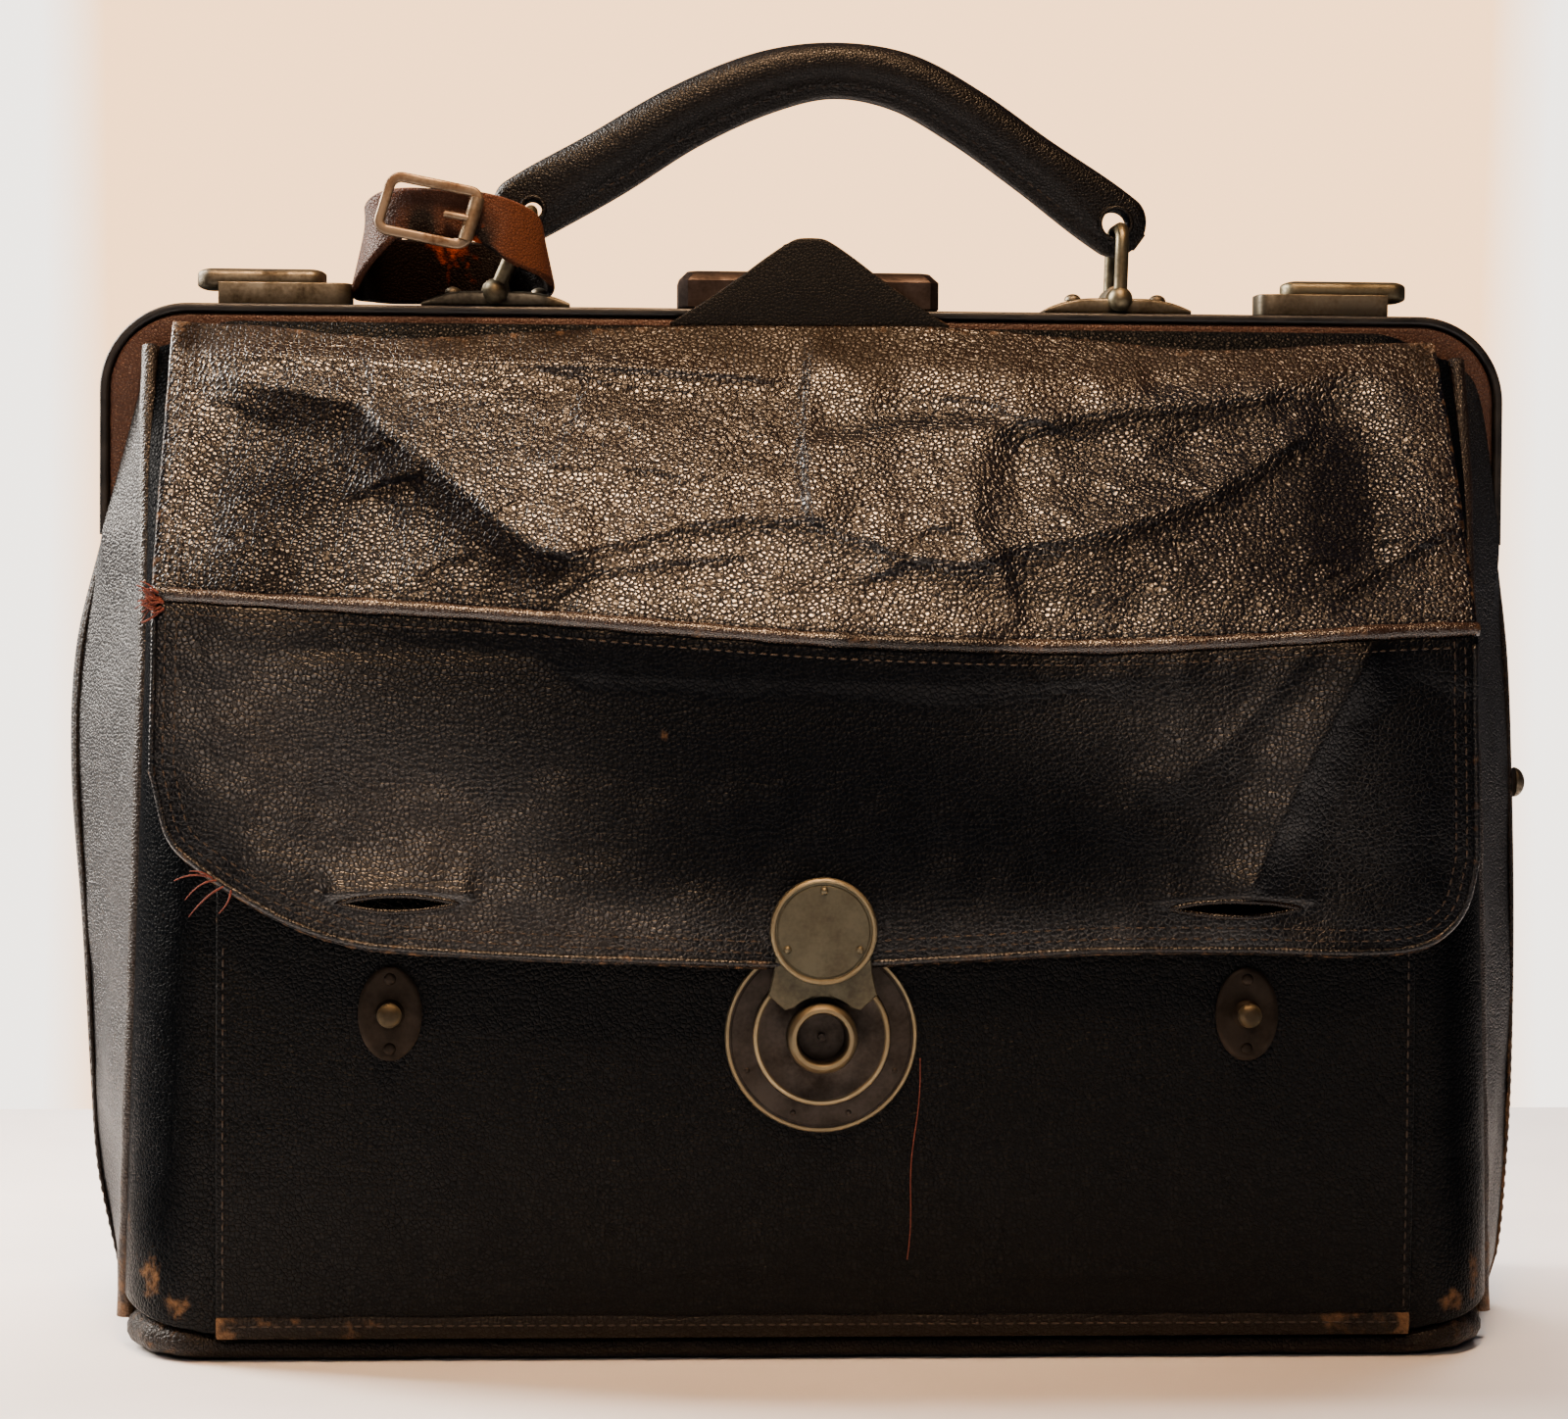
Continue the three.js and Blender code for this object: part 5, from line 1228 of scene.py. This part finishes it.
# Upper and lower edge of the strap by turns of 45 degrees from the right end, by way of the front
STRAP_TURNS = np.radians([0, 45, 90, 135, 180, 225, 270, 315, 360])
strap_upper = curve(STRAP_TURNS, [311, 317.5, 322.4, 322.2, 318, 312, 311, 310, 311])
strap_lower = curve(STRAP_TURNS, [296, 300.5, 308.6, 306.5, 293.5, 292.5, 292.5, 293, 296])


def strap_edge(turn, z):
    """Loop with squared corners whose half width and half depth shrink as it rises, so the strap
    leans in towards its top."""
    c, s = (np.sign(part) * np.abs(part) ** 0.6 for part in (np.cos(turn), np.sin(turn)))
    rise = np.clip((z - 293) / 29, 0, 1)
    return point(STRAP_MID[0] + (28.6 - 6.4 * rise) * c, STRAP_MID[1] - (17.6 - 0.6 * rise) * s, z)


def band(turn, thick, out, trim, loop):
    """Flat band from the lower to the upper edge of the loop, moved outwards, its edges trimmed."""
    low, high = strap_edge(turn, strap_lower(turn) + trim), strap_edge(turn, strap_upper(turn) - trim)
    line, tall = 0.5 * (low + high), np.linalg.norm(high - low, axis=-1)
    step = strap_edge(turn + 0.05, line[:, 2]) - strap_edge(turn - 0.05, line[:, 2])
    away = unit(point(-step[:, 1], step[:, 0], 0))
    rows = np.stack([bar(h, thick, 0.5 * thick - 0.05, 6) for h in tall])
    return carry(line - away * out, rows, high - low, loop)


turns = np.linspace(0, 2 * np.pi, 200, endpoint=False)
loop_band = band(turns, 2.4, 0, 0, True)
flat = loop_band[0]
mid_turn = np.arctan2(-(flat[:, 1] - STRAP_MID[1]) / 17.3, (flat[:, 0] - STRAP_MID[0]) / 26)
radius = np.hypot(*(flat[:, :2] - STRAP_MID).T)
line_radius = np.hypot(*(strap_edge(mid_turn, flat[:, 2])[:, :2] - STRAP_MID).T)
inside = smooth((line_radius - radius) / 0.8 + 0.2)
suede = inside * np.exp(-(((flat[:, 0] + 103) / 8.5) ** 4) - ((flat[:, 2] - 304.5) / 5.5) ** 4)
# Inside the loop the rub tone drops by 1.1: painted shade on the inner face; the suede patch is its own
# colour
handled = 0.45 + 0.75 * hump((flat[:, 0] + 82) / 13) - 1.1 * inside
piece("label_strap", toned(loop_band, 1.6 * suede, handled), strap_hide, "label_strap")
tongue_turns = np.linspace(0.62, 2.4, 70)
tip = 0.5 + 5 * np.clip((tongue_turns - 2.22) / 0.18, 0, 1) ** 2.5
tongue = band(tongue_turns, 2.0, 2.3, tip, False)
piece("strap_tongue", toned(tongue, 0, 0.2 + 0.9 * smooth((tongue[0][:, 0] + 93) / 8)), tongue_hide)

# %% Buckle
BUCKLE_AT, TILT, SLANT = np.array([-108.6, -20.9, 316.0]), -0.19, 0.1


def tilted(flat, depth):
    """A flat drawing of the buckle, slanted like the strap, turned by its tilt and moved to its
    place; the buckle leans back with the strap."""
    c, s = np.cos(TILT), np.sin(TILT)
    a, b = flat[..., 0] + SLANT * flat[..., 1], flat[..., 1]
    return BUCKLE_AT + point(a * c - b * s, depth + 0.04 * b, a * s + b * c)


frame_line = tilted(bar(25.4, 15.6, 3, 9), 0)
buckle = carry(frame_line, bar(1.7, 2.9, 0.75, 4), (0, 1, 0), loop=True)
roller_line = tilted(point(12.2, np.linspace(-6.2, 6.2, 12)), -0.3)
roller = carry(roller_line, 2.1 * circle(14), (0, 1, 0))
prong_share = np.linspace(0, 1, 16)
prong_line = tilted(point(12 - 7.5 * prong_share, 0), -1.2 + 1.4 * prong_share**2)
prong = carry(prong_line, 1.0 * circle(10), (0, 1, 0))
piece("label_buckle", joined(buckle, toned(roller, 0.15), prong), rusted, "label_buckle", crease=50)

# %% [markdown]
# ## Lock, hasp and turn studs
# The round lock plate is turned in steps: a flange with a fine groove, a raised ring, and a
# barrel with a dished mouth. The hasp hangs from the flap, forked round the barrel.

# %% Lock plate
LOCK_Z = 89
lock_back = -float(face(LOCK_Z)) - POCKET_OUT - GAP
# Radius, height and wear: the dark mouth, the barrel, a raised ring and a grooved flange
LOCK_PROFILE = [
    (0.2, 4.2, 0), (1.0, 4.0, 0), (1.1, 1.0, 0), (6.2, 1.0, 0), (6.5, 4, 0), (6.6, 6.8, 0),
    (6.9, 8.1, 0.2), (7.3, 8.5, 0.7), (8.2, 8.5, 0.6), (9.1, 7.7, 0.5), (9.6, 6, 0.1), (9.7, 2.9, 0),
    (10.3, 2.6, 0), (16.9, 2.5, 0), (17.2, 2.6, 0.2), (17.5, 2.95, 0.9), (18.0, 2.95, 0.9),
    (18.4, 2.7, 0.8), (18.6, 2.2, 0.2), (18.6, 1.2, 0), (18.9, 0.95, 0), (24.2, 0.85, 0),
    (24.4, 0.55, 0), (24.8, 0.55, 0), (25.0, 0.9, 0.6), (25.7, 0.95, 0.9), (26.0, 0.6, 0.8),
    (26.1, 0.2, 0.3), (26.1, 0, 0),
]
plate = turn(LOCK_PROFILE, (0, lock_back, LOCK_Z), (0, -1, 0), 96)
nails = [
    turn(dome(0.8, 0.5, 6), (22 * np.cos(a), lock_back - 0.8, LOCK_Z + 22 * np.sin(a)), (0, -1, 0), 14)
    for a in np.radians([205, 250, 290, 335])
]
piece("lock_plate", joined(plate, *nails), bronzed, "lock_plate", crease=35)

# %% Hasp
HASP_Z, FORK_FOOT, NOTCH = 118, 96.6, 11.2
FURTHEST_OUT = -86.2  # the back of the hasp stands no further out than this
hasp_back = float(flap_point(np.array(0.0), np.array(HASP_Z - 6.0))[1]) - GAP - 0.2
hasp_back = max(hasp_back, FURTHEST_OUT)
reach = np.arcsin((FORK_FOOT - LOCK_Z) / NOTCH)
notch = np.linspace(np.pi - reach, reach, 24)
left = np.array([
    (-12.9, HASP_Z), (-12.9, 112), (-13.2, 107), (-14.2, 102.5),
    (-14.7, 100.8), (-12.4, 98.6), (-10.2, FORK_FOOT),
])
arc_in = point(NOTCH * np.cos(notch), LOCK_Z + NOTCH * np.sin(notch))
outline = np.vstack([left, arc_in[1:-1], left[::-1] * [-1, 1]])
fork = stack(
    outline, [(0.3, 0), (0, 0.25), (0, 0.95), (0.3, 1.3)], lambda a, b, h: (a, hasp_back - h, b)
)
piece("hasp_fork", fork, hasp_metal, "hasp_fork", crease=30)
disc_back = hasp_back - 1.3 - GAP
DISC_PROFILE = [
    (0.3, 1.75, 0), (8, 1.7, 0), (12.2, 1.6, 0), (12.6, 1.3, 0), (12.9, 1.35, 0.1),
    (13.2, 1.9, 0.5), (13.7, 2.0, 0.7), (14.2, 1.7, 0.6), (14.5, 1.0, 0.2), (14.5, 0, 0),
]
disc = turn(DISC_PROFILE, (0, disc_back, HASP_Z), (0, -1, 0), 80)
pins = [
    turn(dome(1.15, 1.1, 6), (10.9 * np.cos(a), disc_back - 1.5, HASP_Z + 10.9 * np.sin(a)), (0, -1, 0), 18)
    for a in np.radians([90, 207, 333])
]
piece("hasp_disc", joined(disc, *[toned(pin, 0.15) for pin in pins]), hasp_metal, "hasp_disc", crease=35)

# %% Turn studs and side stud
STUD_X, STUD_Z, SIDE_STUD_Z = 116, 95, 154.5
stud_back = -float(face(STUD_Z)) - POCKET_OUT - GAP
oval = circle(60) * [8.6, 12.7]
KNOB_PROFILE = [
    (4.1, 1.0, 0), (3.7, 1.5, 0), (2.3, 2.2, 0), (2.0, 2.8, 0), (2.4, 3.3, 0), (3.0, 4.0, 0.1),
    (3.3, 5.0, 0.4), (3.1, 6.1, 0.4), (2.4, 6.9, 0.15), (1.2, 7.35, 0.08), (0.2, 7.4, 0.08),
]
for side, label in SIDES:
    x0 = side * STUD_X
    escutcheon = stack(
        oval, [(0.4, 0), (0, 0.2), (0, 0.7), (0.6, 1.1), (1.4, 1.2), (2.2, 1.15)],
        lambda a, b, h: (x0 + a, stud_back - h, STUD_Z + b),
    )
    knob = turn(KNOB_PROFILE, (x0, stud_back, STUD_Z), (0, -1, 0), 36)
    screws = [
        turn(dome(1.7, 0.8, 6), (x0, stud_back - 1.0, STUD_Z + e * 9.4), (0, -1, 0), 20) for e in (-1, 1)
    ]
    name = f"stud_plate_{label}"
    piece(name, joined(escutcheon, knob, *screws), stud_metal, name, crease=40)
out_x = float(ridge[1](SIDE_STUD_Z)) + GAP
button = turn(dome(4.4, 3.2, 12), (out_x, 0, SIDE_STUD_Z), (1, 0, 0), 32)
piece("side_stud", button, nickel, "side_stud", crease=50)

# %% [markdown]
# ## Stitching
# Two rows of stitches follow the edge of the flap and one runs below the bead. Single rows hold
# the edges of the pocket, both edges of each ridge strip and both faces of the handle's fin. Each
# stitch is a small spindle half sunk in the leather, so a whole seam is one light mesh.

# %% A row of stitches
def sew(line, out, pitch=3.1, reach=2.2, thread=0.62):
    """Spindles laid along a line: a half circle of radii from end to end, turned about the
    direction of the seam, at every pitch."""
    line = np.asarray(line, float)
    out = np.broadcast_to(np.asarray(out, float), line.shape)
    run = run_along(line)
    at = np.arange(0.5 * pitch, run[-1], pitch)
    middle, facing = (np.stack([np.interp(at, run, a[:, i]) for i in range(3)], -1) for a in (line, out))
    ahead = unit(np.stack([np.interp(at, run, np.gradient(line[:, i], run)) for i in range(3)], -1))
    facing = unit(facing - (facing * ahead).sum(-1, keepdims=True) * ahead)
    across = np.cross(ahead, facing)
    bend, ring = np.linspace(0.06, np.pi - 0.06, 5), circle(6)
    spoke = ring[None, None, :, :1] * facing[:, None, None] + ring[None, None, :, 1:] * across[:, None, None]
    lengthwise = 0.5 * reach * np.cos(bend)[None, :, None, None] * ahead[:, None, None]
    grid = middle[:, None, None] + lengthwise + 0.5 * thread * np.sin(bend)[None, :, None, None] * spoke
    count, rows, sides = grid.shape[:3]
    number = np.arange(rows * sides).reshape(rows, sides)
    number = np.hstack([number, number[:, :1]])
    # Two faces close the hexagon at either end
    caps = [[0, 1, 2, 3], [0, 3, 4, 5], [24, 27, 26, 25], [24, 29, 28, 27]]
    one = np.vstack([quads(number), caps])
    faces = (one[None] + (np.arange(count) * rows * sides)[:, None, None]).reshape(-1, 4)
    points = grid.reshape(-1, 3)
    return points, faces, np.zeros((len(points), 2))


# %% Seams
def on_flap(x, z, out=0.08):
    """Point or line on the flap, a little proud of the leather."""
    return flap_point(np.asarray(x, float), np.asarray(z, float)) - [0, out, 0]


FRONT = (0, -1, 0.2)
seams = []
for inset in (3.6, 6.6):
    edge_line = flap_edge(inset)
    away = np.abs(edge_line[:, 0]) > 16
    for part in (edge_line[away & (edge_line[:, 0] < 0)], edge_line[away & (edge_line[:, 0] > 0)]):
        seams.append(sew(on_flap(*part.T), FRONT))
    for x0 in (FLAP_LEFT + inset, FLAP_RIGHT - inset):
        z = np.linspace(flap_bead(x0) + 3, flap_top(x0) - 5, 120)
        seams.append(sew(on_flap(x0, z), FRONT))
x = np.linspace(-172, 172, 400)
seams.append(sew(on_flap(x, flap_bead(x) - 5), FRONT))
piece("flap_stitches", joined(*seams), dark_thread)

seams = []
z = np.linspace(POCKET_FOOT + 1, 112, 120)
for x0 in (-160.6, 160.6):
    seams.append(sew(point(x0, -face(z) - POCKET_OUT - 0.25, z), (0, -1, 0)))
x = np.linspace(-160, 160, 300)
seams.append(sew(point(x, -face(BINDING_SEAM) - POCKET_OUT - 0.5, BINDING_SEAM), (0, -1, 0)))
piece("front_stitches", joined(*seams), dark_thread)

seams = []
z = np.linspace(14, 218, 240)
for side in (-1, 1):
    for t in (-0.72, 0.72):
        seams.append(sew(strip_point(side, t, z), (side, 0.4 * side * t, 0), 3.4))
piece("ridge_stitches", joined(*seams), dark_thread)

seams = []
inner = slice(22, -22)
for sign in (-1, 1):
    fin = handle_line[inner] - 0.3 * high[inner, None] * upward[inner]
    fin = fin + np.outer(0.235 * thick[inner] * sign, [0, 1, 0])
    seams.append(sew(fin, (0, sign, 0), 3.4, 2.4, 0.7))
piece("handle_stitches", joined(*seams), dark_thread)

# %% [markdown]
# Where the flap's seam ends have frayed, short red thread ends stick out: a tuft at the end of
# the bead and a few at the lower left corner. Each is a thin tapering tube along a bent line. One
# longer thread hangs beside the lock.

# %% Frayed thread ends
THREAD_RADIUS = 0.16


def thread_end(start, finish, bow, radius):
    """Tapering tube on a parabola from start to finish."""
    t = np.linspace(0, 1, 12)[:, None]
    line = np.array(start) * (1 - t) + np.array(finish) * t + 4 * t * (1 - t) * np.array(bow)
    return carry(line, (radius * (1 - 0.6 * t))[..., None] * circle(6), (0.2, 0.9, 0.4))


ends = [
    thread_end(on_flap(x0, z0, 0.4), on_flap(x0, z0, 0.4) + np.array(way), bow, 0.32)
    for x0, z0, way, bow in (
        (-164, 132, (-9, -2, -1), (0, -0.5, 1)), (-162, 131, (-8, -2, -5), (0, -0.5, 1.4)),
        (-160, 129.5, (-9, -1.5, -8), (0, -0.5, 1)), (-158, 128.5, (-3, -2, -6), (0.8, -0.5, 0)),
        (-163, 131.5, (-6, -1, 2), (0, -0.6, 0.8)), (-180, 206, (-4, -1.5, 2), (0, -0.5, 0.7)),
        (-180, 205, (-5, -1.5, -2), (0, -0.5, 0.7)), (-179.5, 204, (-3.5, -1.5, -4), (0, -0.5, 0.7)),
        (-179, 207, (-4.5, -1, 3.5), (0, -0.5, 0.7)), (-178, 205.5, (-3, -2, 0), (0, -0.5, 0.9)),
    )
]
dice = np.random.default_rng(17)
tufts = dice.uniform((0, -3, -5.5, -3.5, -1), (3.5, 3, -1.5, 3.5, 1), (16, 5))
for dx, dz, reach_x, reach_z, lift in tufts:
    foot = on_flap(-180.3 + dx, 205.3 + dz, 1.0)
    ends.append(thread_end(foot, foot + [reach_x, -1.2, reach_z], (0, -0.6, lift), 0.45))
piece("frayed_threads", joined(*ends), red_thread)

# The loose thread: 55 mm down, swaying a little
t = np.linspace(0, 1, 60)
x, z = 26.9 - 3.2 * t + 0.5 * np.sin(9 * t), 83 - 55 * t
hanging = point(x, -face(z) - POCKET_OUT - 0.75, z)
hair = piece("loose_thread", carry(hanging, THREAD_RADIUS * circle(6), (1, 0, 0)), red_thread)

# %% [markdown]
# ## Soft pieces
# The two halves of the flap are cut flat from hide and hang from the frame; the handle is a
# stuffed roll, and one thread end is long enough to count as a cord.

# %% [markdown]
# ## Floor and light
# The photograph seems to be taken in a white light tent: a warm light above and in front, a
# broad pale one behind, white walls at the sides, the right one hardly lit, and a dark room behind
# the camera, which keeps the lower front dark.

# %% Floor
board = np.array([(-900, -700, 0), (900, -700, 0), (900, 420, 0), (-900, 420, 0)])
ground = bpy.data.meshes.new("floor")
ground.from_pydata((board * MM).tolist(), [], [(0, 1, 2, 3)])
pale, tree, place = finish_of("pale_board", "body_leather")
mottle = noise(tree, place, 60, 3.0)[0]
surface(tree, Base_Color=blend(tree, mottle, hue("#d9d3d0"), hue("#e8e2df")), Roughness=0.6)
ground.materials.append(pale)
floor = bpy.data.objects.new("floor", ground)
bpy.context.collection.objects.link(floor)

# %% Lights
def softbox(name, at, aim, wide, high, watts, tint, spread):
    """Area light at a place, turned to aim at a point."""
    made = bpy.data.lights.new(name, "AREA")
    made.shape, made.size, made.size_y = "RECTANGLE", wide * MM, high * MM
    made.energy, made.color, made.spread = watts, hue(tint)[:3], np.radians(spread)
    lamp = bpy.data.objects.new(name, made)
    back = unit(np.array(at, float) - np.array(aim, float))
    side = unit(np.cross([0, 0, 1] if abs(back[2]) < 0.99 else [0, 1, 0], back))
    turn = np.eye(4)
    turn[:3, 0], turn[:3, 1], turn[:3, 2] = side, np.cross(back, side), back
    turn[:3, 3] = np.array(at) * MM
    lamp.matrix_world = Matrix(turn.tolist())
    lamp.visible_camera = False
    bpy.context.collection.objects.link(lamp)
    return lamp


softbox("roof_of_tent", (-40, -430, 1150), (-50, -40, 245), 400, 210, 1.5, "#ffcc9a", 40)
roof = softbox("roof_behind", (0, 480, 1300), (0, 200, 0), 1500, 600, 23, "#fff3ea", 100)
roof.visible_glossy = False
softbox("left_wall", (-850, 290, 700), (-197, -24, 250), 330, 700, 20, "#fff4e8", 120)
softbox("right_wall", (640, 760, 330), (197, -24, 150), 700, 800, 0.04, "#fff1e2", 120)
softbox("room_in_front", (-250, -1500, 900), (0, -60, 150), 900, 300, 0.75, "#ffe6d2", 60)
room = bpy.data.worlds.new("room")
bpy.context.scene.world = room
room.use_nodes = True
tree = room.node_tree
tree.nodes.clear()
toward = node(tree, "SeparateXYZ", {0: node(tree, "TexCoord", {})["Generated"]})["X"]
aside = node(tree, "Math", {0: times_plus(tree, toward, 1.0, -0.06)}, operation="ABSOLUTE")[0]
wall_share = ramp(tree, aside, 0.18, 0.196, 0, 1)
seen_colour = blend(tree, wall_share, hue("#ffc891"), hue("#fff6ec"))
seen = node(tree, "LightPath", {})["Is Camera Ray"]
backdrop = node(tree, "Background", {"Color": seen_colour, "Strength": 3.8})[0]
dim_room = node(tree, "Background", {"Color": hue("#a9b8e8"), "Strength": 0.03})[0]
both = node(tree, "MixShader", {0: seen, 1: dim_room, 2: backdrop})[0]
node(tree, "OutputWorld", {"Surface": both})
print("lights:", [lamp.name for lamp in bpy.data.lights])
